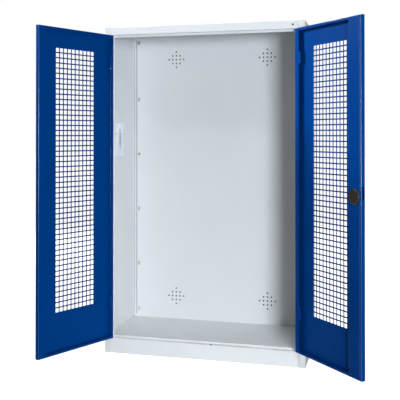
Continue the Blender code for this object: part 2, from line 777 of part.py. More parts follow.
def tongue_slot(side, word):
    """The slot in a closing edge through which the lock's tongue swings down."""
    rise = tongue_height_at_edge() + TONGUE_SLOT_CLEARANCE
    drop = TONGUE_HALF_WIDTH + TONGUE_SLOT_CLEARANCE
    middle = FRONT_Y + TONGUE_NEAR_DEPTH + TONGUE_THICKNESS / 2
    edge = side * DOOR_CLOSING_EDGE
    reach = SHEET + CUT_OVERRUN
    near, far = sorted((edge - side * CUT_OVERRUN / 2, edge + side * reach))
    low = (near, middle - TONGUE_SLOT_WIDTH / 2, LOCK_Z - drop)
    high = (far, middle + TONGUE_SLOT_WIDTH / 2, LOCK_Z + rise)
    return add_cutter("tongue_slot_" + word, box_mesh("tongue_slot_" + word, low, high))


def tongue_height_at_edge():
    """How far above the lock's axis the swinging tongue first reaches the closing edge."""
    arm = TONGUE_REACH - TONGUE_HALF_WIDTH
    inside = BACKSET - SHEET
    highest = 0.0
    for step in range(91):
        angle = radians(step)
        short_of_edge = inside - arm * cos(angle)
        if abs(short_of_edge) < TONGUE_HALF_WIDTH:
            reach = arm * sin(angle) + sqrt(TONGUE_HALF_WIDTH ** 2 - short_of_edge ** 2)
            highest = max(highest, reach)
    return highest


def door(side, word, closing_lip):
    """A perforated leaf with its cuts; returns the objects that swing."""
    pan = door_pan("door_leaf_" + word, side, closing_lip)
    cutters = [perforation(side, word), tongue_slot(side, word)]
    near = HINGE_AXIS_X - KNUCKLE_RADIUS - HINGE_NOTCH_CLEARANCE
    for level in HINGE_HEIGHTS:
        cutters.append(hinge_notch(side, level, near, DOOR_HINGE_EDGE + CUT_OVERRUN / 2, pan.name))
        cutters.append(lip_notch(side, level, pan.name))
    if side == RIGHT:
        cutters += lock_cuts()
    for cutter in cutters:
        combine(pan, cutter, "DIFFERENCE")
    return [pan] + cutters


def lock_cuts():
    """The spindle's hole through the front sheet and the rods' holes through the end returns."""
    profile = rod_profile(SHEET_SPINDLE_HOLE_RADIUS, -CUT_OVERRUN, CUT_OVERRUN)
    spindle = add_cutter("spindle_hole", turned_mesh("spindle_hole", profile, SMALL_ROUND_SIDES))
    spindle.location = (LOCK_X, FRONT_Y, LOCK_Z)
    spindle.rotation_euler = TOWARDS_FRONT
    top = rod_hole("rod_hole_door_top", DOOR_TOP)
    bottom = rod_hole("rod_hole_door_bottom", DOOR_BOTTOM)
    return [spindle, top, bottom]


# Lock on the right door
def lock_channel():
    """The box-shaped cover strip that houses the rods, from a foot on the front sheet to the lip."""
    start = DOOR_CLOSING_EDGE + RIGHT_CLOSING_LIP + SEAT_GAP
    stop = start + CHANNEL_WIDTH
    foot = FRONT_Y + SHEET + SEAT_GAP + SHEET
    path = [
        (start, DOOR_BACK_Y - CHANNEL_TURN),
        (start, DOOR_BACK_Y),
        (stop, DOOR_BACK_Y),
        (stop, foot),
        (stop + CHANNEL_FOOT, foot),
    ]
    low = DOOR_BOTTOM + DOOR_END_LIP + SEAT_GAP
    high = DOOR_TOP - DOOR_END_LIP - SEAT_GAP
    channel = sheet_part("lock_channel", path, "XY", low, high, "right", door_blue)
    profile = rod_profile(CHANNEL_PORT_RADIUS, -CUT_OVERRUN, CUT_OVERRUN)
    port = add_cutter("channel_port", turned_mesh("channel_port", profile, SMALL_ROUND_SIDES))
    port.location = (LOCK_X, DOOR_BACK_Y - SHEET / 2, LOCK_Z)
    port.rotation_euler = TOWARDS_BACK
    combine(channel, port, "DIFFERENCE")
    return [channel, port]


def lock_cover():
    shoulder = COVER_SHOULDER_SHARE * COVER_RADIUS
    inner = COVER_RADIUS - COVER_WALL
    profile = [
        (0.0, COVER_HEIGHT),
        (shoulder, COVER_HEIGHT),
        (COVER_RADIUS, COVER_EDGE_HEIGHT),
        (COVER_RADIUS, 0.0),
        (inner, 0.0),
        (inner, COVER_EDGE_HEIGHT),
        (shoulder - COVER_WALL / 2, COVER_HEIGHT - COVER_WALL),
        (0.0, COVER_HEIGHT - COVER_WALL),
    ]
    place = (LOCK_X, DOOR_BACK_Y + SEAT_GAP, LOCK_Z)
    return turned_part("lock_cover", profile, ROUND_SIDES, place, TOWARDS_BACK, black_plastic)


def handle_rosette():
    bore = HANDLE_NECK_RADIUS + HANDLE_NECK_CLEARANCE
    profile = ring_profile(ROSETTE_RADIUS, bore, 0.0, ROSETTE_THICKNESS)
    place = (LOCK_X, FRONT_Y - SEAT_GAP, LOCK_Z)
    return turned_part("handle_rosette", profile, ROUND_SIDES, place, TOWARDS_FRONT, black_plastic, closed=True)


def spindle_bush():
    """The flanged bush, fixed behind the front sheet, in which the spindle turns."""
    profile = [
        (BUSH_RADIUS, BUSH_LENGTH),
        (BUSH_RADIUS, BUSH_FLANGE_THICKNESS),
        (BUSH_FLANGE_RADIUS, BUSH_FLANGE_THICKNESS),
        (BUSH_FLANGE_RADIUS, 0.0),
        (BUSH_BORE_RADIUS, 0.0),
        (BUSH_BORE_RADIUS, BUSH_LENGTH),
    ]
    place = (LOCK_X, FRONT_Y + SHEET + SEAT_GAP, LOCK_Z)
    return turned_part("spindle_bush", profile, SMALL_ROUND_SIDES, place, TOWARDS_BACK, zinc_steel, closed=True)


def lock_case():
    """The bent plate behind the pinion; its two lugs keep the racks against the teeth."""
    back = DOOR_BACK_Y - SHEET - SEAT_GAP
    lug = back - CASE_LUG_DEPTH
    left = LOCK_X - CASE_HALF_WIDTH
    right = LOCK_X + CASE_HALF_WIDTH
    path = [(left, lug), (left, back), (right, back), (right, lug)]
    low = LOCK_Z - CASE_LENGTH / 2
    high = LOCK_Z + CASE_LENGTH / 2
    case = sheet_part("lock_case", path, "XY", low, high, "right", zinc_steel, thickness=CASE_WALL)
    profile = rod_profile(CASE_BORE_RADIUS, -CUT_OVERRUN, CUT_OVERRUN)
    bore = add_cutter("case_bore", turned_mesh("case_bore", profile, SMALL_ROUND_SIDES))
    bore.location = (LOCK_X, back - CASE_WALL / 2, LOCK_Z)
    bore.rotation_euler = TOWARDS_FRONT
    combine(case, bore, "DIFFERENCE")
    return [case, bore]


def rod_guide(name, height):
    """A plastic block on the front sheet, with the hole in which a rod slides."""
    near = SHEET + SEAT_GAP - ROD_DEPTH
    half = GUIDE_WIDTH / 2
    outline = [(-half, near), (half, near), (half, near + GUIDE_DEPTH), (-half, near + GUIDE_DEPTH)]
    bore = circle_outline((0.0, 0.0), ROD_RADIUS + GUIDE_BORE_CLEARANCE, ROD_SIDES)
    guide = add_part(name, flat_mesh(name, [outline, bore], GUIDE_HEIGHT), black_plastic)
    guide.location = (LOCK_X, ROD_Y, height)
    return guide


def spindle():
    reach = SPINDLE_FRONT_REACH + SPINDLE_REAR_DEPTH
    return upright_blank("spindle", [square_outline(SPINDLE_SQUARE)], -SPINDLE_FRONT_REACH, reach, zinc_steel)


def lock_tongue():
    """The centre bolt: it points up when unlocked and swings down through the closing edges."""
    arm = TONGUE_REACH - TONGUE_HALF_WIDTH
    outline = arc((0.0, arm), TONGUE_HALF_WIDTH, 0.0, pi, SMALL_ROUND_SIDES // 2)
    outline += arc((0.0, 0.0), TONGUE_HALF_WIDTH, pi, 2 * pi, SMALL_ROUND_SIDES // 2)
    outlines = [outline, square_outline(SPINDLE_HOLE)]
    return upright_blank("lock_tongue", outlines, TONGUE_NEAR_DEPTH, TONGUE_THICKNESS, zinc_steel)


def involute_half_angle(radius):
    """Half the angle that a pinion tooth fills at a radius, from its thickness on the pitch circle."""
    base = PITCH_RADIUS * cos(PRESSURE_ANGLE)
    roll = sqrt(max(radius ** 2 / base ** 2 - 1.0, 0.0))
    pressure_here = asin(sqrt(max(1.0 - (base / max(radius, base)) ** 2, 0.0)))
    half_at_pitch = (TOOTH_PITCH / 2 - BACKLASH / 2) / (2 * PITCH_RADIUS)
    return half_at_pitch + tan(PRESSURE_ANGLE) - PRESSURE_ANGLE - (roll - pressure_here)


def pinion_outline():
    root = PITCH_RADIUS - DEDENDUM
    tip = PITCH_RADIUS + ADDENDUM
    flank = [root + (tip - root) * step / GEAR_FLANK_STEPS for step in range(GEAR_FLANK_STEPS + 1)]
    outline = []
    for tooth in range(PINION_TEETH):
        centre = 2 * pi * tooth / PINION_TEETH
        for radius in flank:
            angle = centre - involute_half_angle(radius)
            outline.append((radius * cos(angle), radius * sin(angle)))
        for radius in reversed(flank):
            angle = centre + involute_half_angle(radius)
            outline.append((radius * cos(angle), radius * sin(angle)))
    return outline


def lock_pinion():
    outlines = [pinion_outline(), square_outline(SPINDLE_HOLE)]
    return upright_blank("lock_pinion", outlines, PINION_NEAR_DEPTH, PINION_THICKNESS, zinc_steel)


def rack_outline():
    """The flat end of a rod, to the right of the pinion: teeth, back strip and a jog over the axis."""
    tip = PITCH_RADIUS - ADDENDUM
    root = PITCH_RADIUS + DEDENDUM
    back = root + RACK_BACK_WIDTH
    half_tip = TOOTH_PITCH / 4 - BACKLASH / 4 - ADDENDUM * tan(PRESSURE_ANGLE)
    half_root = TOOTH_PITCH / 4 - BACKLASH / 4 + DEDENDUM * tan(PRESSURE_ANGLE)
    teeth = []
    for index in range(-RACK_TEETH_AFTER, RACK_TEETH_BEFORE + 1):
        centre = (index + 1 / 2) * TOOTH_PITCH
        teeth += [(root, centre - half_root), (tip, centre - half_tip), (tip, centre + half_tip),
                  (root, centre + half_root)]
    bottom = teeth[0][1]
    edge = -RACK_JOG_OVERHANG
    body = [(root, RACK_JOG), (edge, RACK_JOG), (edge, RACK_WELD_END), (back, RACK_WELD_END), (back, bottom)]
    return teeth + body


def lock_rod(name, up):
    """A round bar welded to a flat rack; the lower rod is the upper one turned half a turn."""
    outline = [(up * x, up * z) for x, z in rack_outline()]
    rack = upright_blank(name, [outline], RACK_DEPTH, RACK_THICKNESS, zinc_steel)
    end = DOOR_TOP if up > 0 else DOOR_BOTTOM
    bottom, top = sorted((up * ROD_START, end - LOCK_Z))
    profile = rod_profile(ROD_RADIUS, bottom, top)
    bar = add_cutter(name + "_bar", turned_mesh(name + "_bar", profile, ROD_SIDES))
    bar.location = (LOCK_X, ROD_Y, LOCK_Z)
    combine(rack, bar, "UNION")
    return [rack, bar]


def grip_outline():
    reach = (HANDLE_GRIP_LENGTH - HANDLE_GRIP_WIDTH) / 2
    radius = HANDLE_GRIP_WIDTH / 2
    outline = arc((0.0, reach), radius, 0.0, pi, SMALL_ROUND_SIDES // 2)
    outline += arc((0.0, -reach), radius, pi, 2 * pi, SMALL_ROUND_SIDES // 2)
    return outline


def turn_handle():
    """A disc with a neck behind and an upright grip bar in front, bored for the spindle and the lock barrel."""
    disc = HANDLE_DISC_THICKNESS
    neck = ROSETTE_THICKNESS
    profile = [
        (0.0, disc),
        (HANDLE_DISC_RADIUS, disc),
        (HANDLE_DISC_RADIUS, 0.0),
        (HANDLE_NECK_RADIUS, 0.0),
        (HANDLE_NECK_RADIUS, -neck),
        (0.0, -neck),
    ]
    face = HANDLE_FACE_Y - SEAT_GAP
    place = (LOCK_X, face, LOCK_Z)
    handle = turned_part("turn_handle", profile, ROUND_SIDES, place, TOWARDS_FRONT, black_plastic)
    grip = add_cutter("grip", flat_mesh("grip", [grip_outline()], HANDLE_GRIP_HEIGHT + disc / 2))
    grip.location = (LOCK_X, face - disc - HANDLE_GRIP_HEIGHT / 2 + disc / 4, LOCK_Z)
    grip.rotation_euler = TOWARDS_FRONT
    rounding = grip.modifiers.new("rounding", "BEVEL")
    rounding.width = HANDLE_BEVEL
    rounding.segments = 1
    rounding.limit_method = "ANGLE"
    rounding.angle_limit = radians(60.0)
    combine(handle, grip, "UNION")
    socket = add_cutter("spindle_socket", flat_mesh("spindle_socket", [square_outline(SPINDLE_HOLE)],
                                                    2 * (SPINDLE_FRONT_REACH + SPINDLE_CLEARANCE)))
    socket.location = (LOCK_X, FRONT_Y, LOCK_Z)
    socket.rotation_euler = TOWARDS_FRONT
    combine(handle, socket, "DIFFERENCE")
    radius = CYLINDER_RADIUS + CYLINDER_CLEARANCE
    depth = CYLINDER_LENGTH + CYLINDER_CLEARANCE - CYLINDER_PROUD
    profile = rod_profile(radius, -depth, CUT_OVERRUN)
    barrel = add_cutter("barrel_bore", turned_mesh("barrel_bore", profile, SMALL_ROUND_SIDES))
    barrel.location = (LOCK_X, FRONT_Y - GRIP_FRONT_DEPTH, LOCK_Z)
    barrel.rotation_euler = TOWARDS_FRONT
    combine(handle, barrel, "DIFFERENCE")
    return [handle, grip, socket, barrel]


def lock_cylinder():
    """The key barrel in the front of the handle, with its keyway."""
    profile = rod_profile(CYLINDER_RADIUS, -CYLINDER_LENGTH, 0.0)
    place = (LOCK_X, FRONT_Y - GRIP_FRONT_DEPTH - CYLINDER_PROUD, LOCK_Z)
    cylinder = turned_part("lock_cylinder", profile, SMALL_ROUND_SIDES, place, TOWARDS_FRONT, zinc_steel)
    low = (LOCK_X - KEYWAY_WIDTH / 2, place[1] - CUT_OVERRUN, LOCK_Z - KEYWAY_HEIGHT / 2)
    high = (LOCK_X + KEYWAY_WIDTH / 2, place[1] + KEYWAY_DEPTH, LOCK_Z + KEYWAY_HEIGHT / 2)
    keyway = add_cutter("keyway", box_mesh("keyway", low, high))
    combine(cylinder, keyway, "DIFFERENCE")
    return [cylinder, keyway]


def lock():
    """Everything of the lock; returns what swings with the right door."""
    swinging = [lock_cover(), handle_rosette(), spindle_bush(), spindle(), lock_tongue(), lock_pinion()]
    swinging += lock_channel() + lock_case() + turn_handle() + lock_cylinder()
    swinging += lock_rod("lock_rod_upper", 1) + lock_rod("lock_rod_lower", -1)
    swinging.append(rod_guide("rod_guide_upper", DOOR_TOP - GUIDE_FROM_DOOR_END))
    swinging.append(rod_guide("rod_guide_lower", DOOR_BOTTOM + GUIDE_FROM_DOOR_END))
    return swinging


# Document pocket
def document_pocket():
    """A clear pocket on the left wall, folded on three sides, with a leaflet standing in it."""
    wall = -WALL_INSIDE + SEAT_GAP
    front = FRONT_Y + POCKET_FROM_FRONT
    rear = front + POCKET_WIDTH
    path = [
        (wall, front),
        (wall + POCKET_DEPTH, front),
        (wall + POCKET_DEPTH, rear),
        (wall, rear),
    ]
    top = POCKET_BOTTOM + POCKET_HEIGHT
    pocket = sheet_part("document_pocket", path, "XY", POCKET_BOTTOM, top, "left", clear_film)
    ledge = box_mesh("pocket_ledge", (wall, front, POCKET_BOTTOM),
                     (wall + POCKET_DEPTH, rear, POCKET_BOTTOM + SHEET))
    combine(pocket, add_cutter("pocket_ledge", ledge), "UNION")
    page_x = wall + (POCKET_DEPTH - SHEET) / 2
    page_front = (front + rear - LEAFLET_WIDTH) / 2
    page_bottom = POCKET_BOTTOM + SHEET + SEAT_GAP
    page = box_mesh("leaflet", (page_x - LEAFLET_THICKNESS / 2, page_front, page_bottom),
                    (page_x + LEAFLET_THICKNESS / 2, page_front + LEAFLET_WIDTH, page_bottom + LEAFLET_HEIGHT))
    add_part("leaflet", page, white_paper)


def swing(name, side, angle, items):
    """An empty on the hinge axis that carries a door and opens it."""
    pivot = bpy.data.objects.new(name, None)
    PARTS.objects.link(pivot)
    pivot.location = (side * HINGE_AXIS_X, FRONT_Y, LOCK_Z)
    hang_on(pivot, items)
    pivot.rotation_euler = (0.0, 0.0, side * angle)


carcass()
document_pocket()
swing("left_door_axis", LEFT, LEFT_OPEN_ANGLE, hinges(LEFT, "left") + door(LEFT, "left", LEFT_CLOSING_LIP))
swing("right_door_axis", RIGHT, RIGHT_OPEN_ANGLE,
      hinges(RIGHT, "right") + door(RIGHT, "right", RIGHT_CLOSING_LIP) + lock())
bpy.context.view_layer.update()
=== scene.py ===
"""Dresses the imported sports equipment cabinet: finishes, rounded folds, perforation and setting.

Metres, +Z up, the front of the cabinet towards -Y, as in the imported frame. Pieces of the doors are
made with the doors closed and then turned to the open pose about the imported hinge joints.
"""

import json
from math import cos, pi, radians, sin, tan

import bmesh
import bpy
from mathutils import Matrix, Vector
from mathutils.geometry import delaunay_2d_cdt


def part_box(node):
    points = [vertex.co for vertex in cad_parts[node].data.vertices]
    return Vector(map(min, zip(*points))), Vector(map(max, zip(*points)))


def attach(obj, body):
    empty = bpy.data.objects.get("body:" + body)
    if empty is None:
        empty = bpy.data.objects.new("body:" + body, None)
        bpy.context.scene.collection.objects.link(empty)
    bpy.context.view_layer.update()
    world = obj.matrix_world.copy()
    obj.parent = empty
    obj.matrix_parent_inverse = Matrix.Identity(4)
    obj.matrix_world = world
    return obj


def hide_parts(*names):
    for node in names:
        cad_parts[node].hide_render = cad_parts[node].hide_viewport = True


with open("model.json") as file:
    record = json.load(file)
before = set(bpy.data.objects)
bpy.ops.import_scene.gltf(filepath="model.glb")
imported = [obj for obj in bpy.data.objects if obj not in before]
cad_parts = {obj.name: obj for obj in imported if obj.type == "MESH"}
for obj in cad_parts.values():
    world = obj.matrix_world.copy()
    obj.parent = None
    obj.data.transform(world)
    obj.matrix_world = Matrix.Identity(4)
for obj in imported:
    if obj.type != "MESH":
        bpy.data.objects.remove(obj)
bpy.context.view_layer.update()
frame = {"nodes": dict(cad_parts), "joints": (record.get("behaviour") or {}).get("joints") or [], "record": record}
NODES = frame["nodes"]
JOINTS = {joint["name"]: joint for joint in frame["joints"]}

# Places that follow the frame
FRONT_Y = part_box("side_panel_left")[0][1]
SIDE_REAR_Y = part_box("side_panel_left")[1][1]
CARCASS_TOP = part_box("side_panel_left")[1][2]
HALF_WIDTH, BACK_Y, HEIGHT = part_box("top_panel")[1]
BACK_PANEL_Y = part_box("back_panel")[0][1]
PLINTH_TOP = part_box("plinth_front")[1][2]
FLOOR_REAR_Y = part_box("floor_panel")[1][1]
FLOOR_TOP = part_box("floor_panel")[1][2]
FLOOR_FOLD_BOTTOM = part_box("floor_panel")[0][2]
DOOR_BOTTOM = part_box("door_leaf_left")[0][2]
DOOR_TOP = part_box("door_leaf_left")[1][2]
LEFT, RIGHT = -1, 1
SIDES = ((LEFT, "left"), (RIGHT, "right"))

# Sheet metal
SHEET = 0.001
SEAT_GAP = 0.0003
FOLD_RADIUS = 0.0018
LIP_FOLD_RADIUS = 0.0012
FLOOR_FOLD_RADIUS = 0.0024
CHANNEL_FOLD_RADIUS = 0.0034
FOLD_STEPS = 5
OVERRUN = 0.002
DRILL_LENGTH = 0.004
JOINT_GAP = 0.0016

# Carcass
FRAME_FACE = 0.035
STOP_DEPTH = 0.026
STOP_LIP = 0.014
STOP_RETURN = 0.010
FASCIA_HEIGHT = 0.045
FASCIA_STOP_DROP = 0.013
TOP_REAR_FLANGE = 0.020
FOOT_FLANGE = 0.025
OPENING_HALF = HALF_WIDTH - FRAME_FACE
STOP_Y = FRONT_Y + STOP_DEPTH
STOP_HALF = OPENING_HALF - STOP_LIP
POST_REAR_Y = STOP_Y + STOP_RETURN
FASCIA_BOTTOM = HEIGHT - FASCIA_HEIGHT
FASCIA_STOP = FASCIA_BOTTOM - FASCIA_STOP_DROP

# Rear flanges of the side walls as far as they show, and the painted shade of the gap beside them
REAR_FLANGE_SEEN = 0.0048
REAR_GAP_SHADE_WIDTH = 0.0024
REAR_GAP_SHADE_DEPTHS = (0.0005, 0.0001)
REAR_GAP_SHADE_ABOVE_STOP = 0.012

# Plug in the fascia
PLUG_X, PLUG_Z = 0.532, HEIGHT - 0.0215
PLUG_HOLE_RADIUS = 0.006
PLUG_INSET = 0.0016
PLUG_SIDES = 32
PLUG_PROFILE = [
    (0.0, 0.0012), (0.0046, 0.0010), (0.0056, 0.0004), (0.0056, -0.0012), (0.0, -0.0012),
]

# Back panel
VENT_RADIUS = 0.0052
VENT_PITCH = 0.025
VENT_RINGS = 2
VENT_SIDES = 16
VENT_FROM_CENTRE = 0.302
VENT_HEIGHTS = (0.250, HEIGHT - 0.150)
SLOT_SIZE = (0.0085, 0.0066)
SLOT_CORNER = 0.0015
SLOT_X = HALF_WIDTH - SHEET - 0.021
SLOT_PITCH = 0.015
SLOT_LOWEST = 0.125
SLOT_COUNT = 122
NUMBER_HEIGHTS = (0.153, 0.454, 0.816, 1.178, 1.541, 1.918)
NUMBER_X = 0.561
NUMBER_SIZE = 0.030
NUMBER_STROKE = 0.0009
NUMBER_HALF_THICKNESS = 0.00004
NUMBER_LIFT = 0.00006

# Doors
DOOR_DEPTH = 0.025
DOOR_SIDE_GAP = 0.002
CLOSING_EDGE = 0.001
HINGE_EDGE = OPENING_HALF - DOOR_SIDE_GAP
DOOR_WIDTH = HINGE_EDGE - CLOSING_EDGE
CLOSING_LIP = {LEFT: 0.047, RIGHT: 0.010}
HINGE_LIP = {LEFT: 0.017, RIGHT: 0.036}
END_LIP = 0.015
COLUMNS = 10
ROWS = 51
HOLE_PITCH = 0.0290
HOLE_HALF = 0.0110
HOLE_CORNER = 0.0016
FIELD_CENTRE_Z = 1.0545

# Hinges, and the notches that clear their knuckles and pin heads
HINGE_AXIS_X = OPENING_HALF - 0.001
KNUCKLE_RADIUS = 0.0043
HINGE_HALF = 0.032
HINGE_HEIGHTS = (DOOR_TOP - 0.165, DOOR_BOTTOM + 0.222)
NOTCH_CLEARANCE = 0.001
NOTCH_END_CLEARANCE = 0.0022

# Lock: its slot is given by depths from the door's front and by reaches below and above the spindle
LOCK_X = 0.053
LOCK_Z = (DOOR_BOTTOM + DOOR_TOP) / 2
ROD_Y = FRONT_Y + 0.012
ROD_HOLE_RADIUS = 0.007
PLINTH_ROD_HOLE_RADIUS = 0.0095
SPINDLE_HOLE_RADIUS = 0.0075
TONGUE_SLOT_DEPTHS = (0.0075, 0.0165)
TONGUE_SLOT_REACHES = (0.0105, 0.0505)
CHANNEL_WIDTH = 0.0887
CHANNEL_TURN = 0.007
CHANNEL_FOOT = 0.012
COVER_RADIUS = 0.041
COVER_WALL = 0.002
COVER_SIDES = 96
COVER_PROFILE = [
    (0.0, 0.0068), (0.0325, 0.0068), (0.0335, 0.0072), (0.0345, 0.0080), (0.0362, 0.0080),
    (0.0372, 0.0077), (0.0398, 0.0052), (0.0408, 0.0041), (COVER_RADIUS, 0.0032),
    (COVER_RADIUS, 0.0), (COVER_RADIUS - COVER_WALL, 0.0), (COVER_RADIUS - COVER_WALL, 0.003),
    (0.036, 0.0058), (0.0, 0.0058),
]
COVER_RIM_RADIUS = 0.0355
COVER_RIM_SLOPE = 0.3

# Leaflet: the lean of the fold's painted highlight, a point on it and its fading edge, and the grey shape beside
# it
FOLD_LEAN = 0.26
FOLD_Y, FOLD_Z = FRONT_Y + 0.190, 1.274
FOLD_EDGES = (0.013, 0.018)
SHAPE_CENTRE = (-0.598, FRONT_Y + 0.242, 1.276)
SHAPE_RADII = (1.0, 0.017, 0.056)

# Camera, from the fit of the photograph's edges
CAMERA_PLACE = (1.0896, FRONT_Y - 4.1372, 1.3065)
CAMERA_YAW = radians(14.87)
CAMERA_PITCH = radians(0.45)
SENSOR = 36.0
FOCAL_PIXELS = 735.9
PHOTO_PIXELS = 400.0
SHIFT_PIXELS = -71.1
CAMERA_REACH = 60.0

# Studio: each lamp has its place, aim, size, watts, colour and spread in degrees
KEY_AZIMUTH = radians(23.8)
KEY_DISTANCE = 12.0
WHITE = (1.0, 1.0, 1.0)
LAMPS = {
    "tall_soft_box": ((KEY_DISTANCE * sin(KEY_AZIMUTH), -KEY_DISTANCE * cos(KEY_AZIMUTH), 1.1),
                      (0.0, 0.0, 1.0), (2.4, 2.2), 1000.0, (0.95, 1.0, 1.06), 180.0),
    "high_soft_box": ((1.6, -3.0, 4.6), (0.0, 0.2, 0.0), (1.5, 1.5), 3.8, WHITE, 28.0),
    "side_soft_box": ((8.4, -5.3, 1.6), (0.0, 0.0, 1.0), (2.4, 3.0), 150.0, WHITE, 180.0),
    "left_fill": ((-2.5, -0.36, 3.1), (0.75, -0.2, 1.5), (0.8, 0.8), 20.5, (0.93, 0.98, 1.07),
                  60.0),
    "rear_soft_box": ((-2.5, 5.0, 3.0), (0.0, 0.3, 1.0), (3.0, 2.0), 150.0, WHITE, 180.0),
}
FILL_COLOR = (1.0, 0.76, 0.50)
FILL_STRENGTH = 0.115
GLOSSY_SHARE = 0.35
STAGE_FLOOR_BOX = ((-40.0, -40.0, -0.02), (40.0, 40.0, -0.0005))
STAGE_FLOOR_GREY = (0.80, 0.80, 0.80)
# Dark of the painted shade: on the floor under the cabinet and on the card behind the back panel
PAINTED_SHADE_DARK = (0.02, 0.02, 0.02)
CARD_HALF_WIDTH = 0.594
CARD_HEIGHTS = (0.11, 1.94)
CARD_GAP = 0.0006


# Node materials
def new_material(name):
    material = bpy.data.materials.new(name)
    material.use_nodes = True
    return material, material.node_tree, material.node_tree.nodes["Principled BSDF"]


def add_node(tree, kind, inputs=(), **settings):
    node = tree.nodes.new(kind)
    for key, value in settings.items():
        setattr(node, key, value)
    for key, value in dict(inputs).items():
        node.inputs[key].default_value = value
    return node


def feed(tree, socket, part):
    """Links an input to another node's output, or sets it to a plain value or colour."""
    if isinstance(part, bpy.types.NodeSocket):
        tree.links.new(part, socket)
    elif socket.type == "RGBA":
        socket.default_value = (*part, 1.0)
    else:
        socket.default_value = part


def worked_out(tree, kind, operation, *parts, result="Value"):
    """The output of a Math or VectorMath node."""
    node = add_node(tree, "ShaderNode" + kind, operation=operation)
    for socket, part in zip(node.inputs, parts):
        feed(tree, socket, part)
    return node.outputs[result]


def mixed(tree, factor, first, second):
    """A colour from the first to the second as the factor goes from 0 to 1."""
    node = add_node(tree, "ShaderNodeMix", data_type="RGBA")
    feed(tree, node.inputs["A"], first)
    feed(tree, node.inputs["B"], second)
    tree.links.new(factor, node.inputs["Factor"])
    return node.outputs["Result"]


def mixed_shaders(tree, factor, first, second):
    node = add_node(tree, "ShaderNodeMixShader")
    for socket, part in zip(node.inputs, (factor, first.outputs[0], second.outputs[0])):
        tree.links.new(part, socket)
    return node


def object_place(tree):
    return add_node(tree, "ShaderNodeTexCoord").outputs["Object"]


def noise(tree, scale, detail=2.0, stretch=None):
    source = object_place(tree)
    if stretch:
        mapping = add_node(tree, "ShaderNodeMapping", {"Scale": stretch})
        tree.links.new(source, mapping.inputs["Vector"])
        source = mapping.outputs["Vector"]
    texture = add_node(tree, "ShaderNodeTexNoise", {"Scale": scale, "Detail": detail})
    tree.links.new(source, texture.inputs["Vector"])
    return texture.outputs["Fac"]


def spread(tree, source, low, high, start=0.3, stop=0.7):
    """A value from low to high as the source goes from start to stop."""
    node = add_node(tree, "ShaderNodeMapRange", {
        "From Min": start, "From Max": stop, "To Min": low, "To Max": high})
    tree.links.new(source, node.inputs["Value"])
    return node.outputs["Result"]


def shaded(color, factor):
    return tuple(min(1.0, part * factor) for part in color)


def edge_mask(tree, radius):
    """Near 1 along sharp outer edges and 0 on flats."""
    bevel = add_node(tree, "ShaderNodeBevel", {"Radius": radius}, samples=4)
    geometry = add_node(tree, "ShaderNodeNewGeometry")
    likeness = worked_out(tree, "VectorMath", "DOT_PRODUCT", bevel.outputs["Normal"],
                          geometry.outputs["Normal"])
    return spread(tree, likeness, 1.0, 0.0, start=0.80, stop=0.985)


def bump(tree, shader, source, strength, distance):
    node = add_node(tree, "ShaderNodeBump", {"Strength": strength, "Distance": distance})
    tree.links.new(source, node.inputs["Height"])
    tree.links.new(node.outputs["Normal"], shader.inputs["Normal"])


def paint(name, color, roughness, specular, tint=WHITE, cloud=0.02, edge=1.12):
    """Powder coat: orange peel, faint clouds in colour and gloss, and edges lightened partly as wear and partly as
    a painted highlight.
    """
    material, tree, shader = new_material(name)
    clouds = spread(tree, noise(tree, scale=3.1, detail=3.0), 0.0, 1.0)
    body = mixed(tree, clouds, shaded(color, 1 - cloud), shaded(color, 1 + cloud))
    # Edges lightened by the edge factor: partly wear, partly a painted highlight
    worn_and_highlit_edges = mixed(tree, edge_mask(tree, radius=0.0009), body, shaded(color, edge))
    tree.links.new(worn_and_highlit_edges, shader.inputs["Base Color"])
    gloss = spread(tree, noise(tree, scale=14.0, detail=3.0), roughness - 0.03, roughness + 0.04)
    tree.links.new(gloss, shader.inputs["Roughness"])
    bump(tree, shader, noise(tree, scale=520.0), strength=0.10, distance=0.0003)
    shader.inputs["Specular IOR Level"].default_value = specular
    shader.inputs["Specular Tint"].default_value = (*tint, 1.0)
    return material


def zinc(name):
    """Drawn, zinc-plated steel with fine length-wise lines and mottled spangle."""
    material, tree, shader = new_material(name)
    mottle = spread(tree, noise(tree, scale=60.0, detail=4.0), 0.0, 1.0)
    color = mixed(tree, mottle, (0.50, 0.51, 0.52), (0.64, 0.65, 0.66))
    tree.links.new(color, shader.inputs["Base Color"])
    lines = noise(tree, scale=900.0, stretch=(1.0, 1.0, 0.05))
    tree.links.new(spread(tree, lines, 0.28, 0.48), shader.inputs["Roughness"])
    bump(tree, shader, lines, strength=0.12, distance=0.0002)
    shader.inputs["Metallic"].default_value = 1.0
    return material


def moulded(name, color, roughness, grain, specular=0.5):
    """Moulded plastic with a fine spark-eroded grain."""
    material, tree, shader = new_material(name)
    clouds = spread(tree, noise(tree, scale=90.0, detail=3.0), 0.0, 1.0)
    body = mixed(tree, clouds, shaded(color, 0.75), shaded(color, 1.3))
    tree.links.new(body, shader.inputs["Base Color"])
    fine = noise(tree, scale=grain, detail=3.0)
    gloss = spread(tree, fine, roughness - 0.06, roughness + 0.08)
    tree.links.new(gloss, shader.inputs["Roughness"])
    bump(tree, shader, fine, strength=0.25, distance=0.0002)
    shader.inputs["Specular IOR Level"].default_value = specular
    return material


def film(name):
    """Clear plastic film with faint ripples."""
    material, tree, shader = new_material(name)
    shader.inputs["Base Color"].default_value = (0.95, 0.97, 1.0, 1.0)
    shader.inputs["Alpha"].default_value = 0.16
    gloss = spread(tree, noise(tree, scale=40.0), 0.10, 0.22)
    tree.links.new(gloss, shader.inputs["Roughness"])
    bump(tree, shader, noise(tree, scale=18.0), strength=0.20, distance=0.001)
    return material


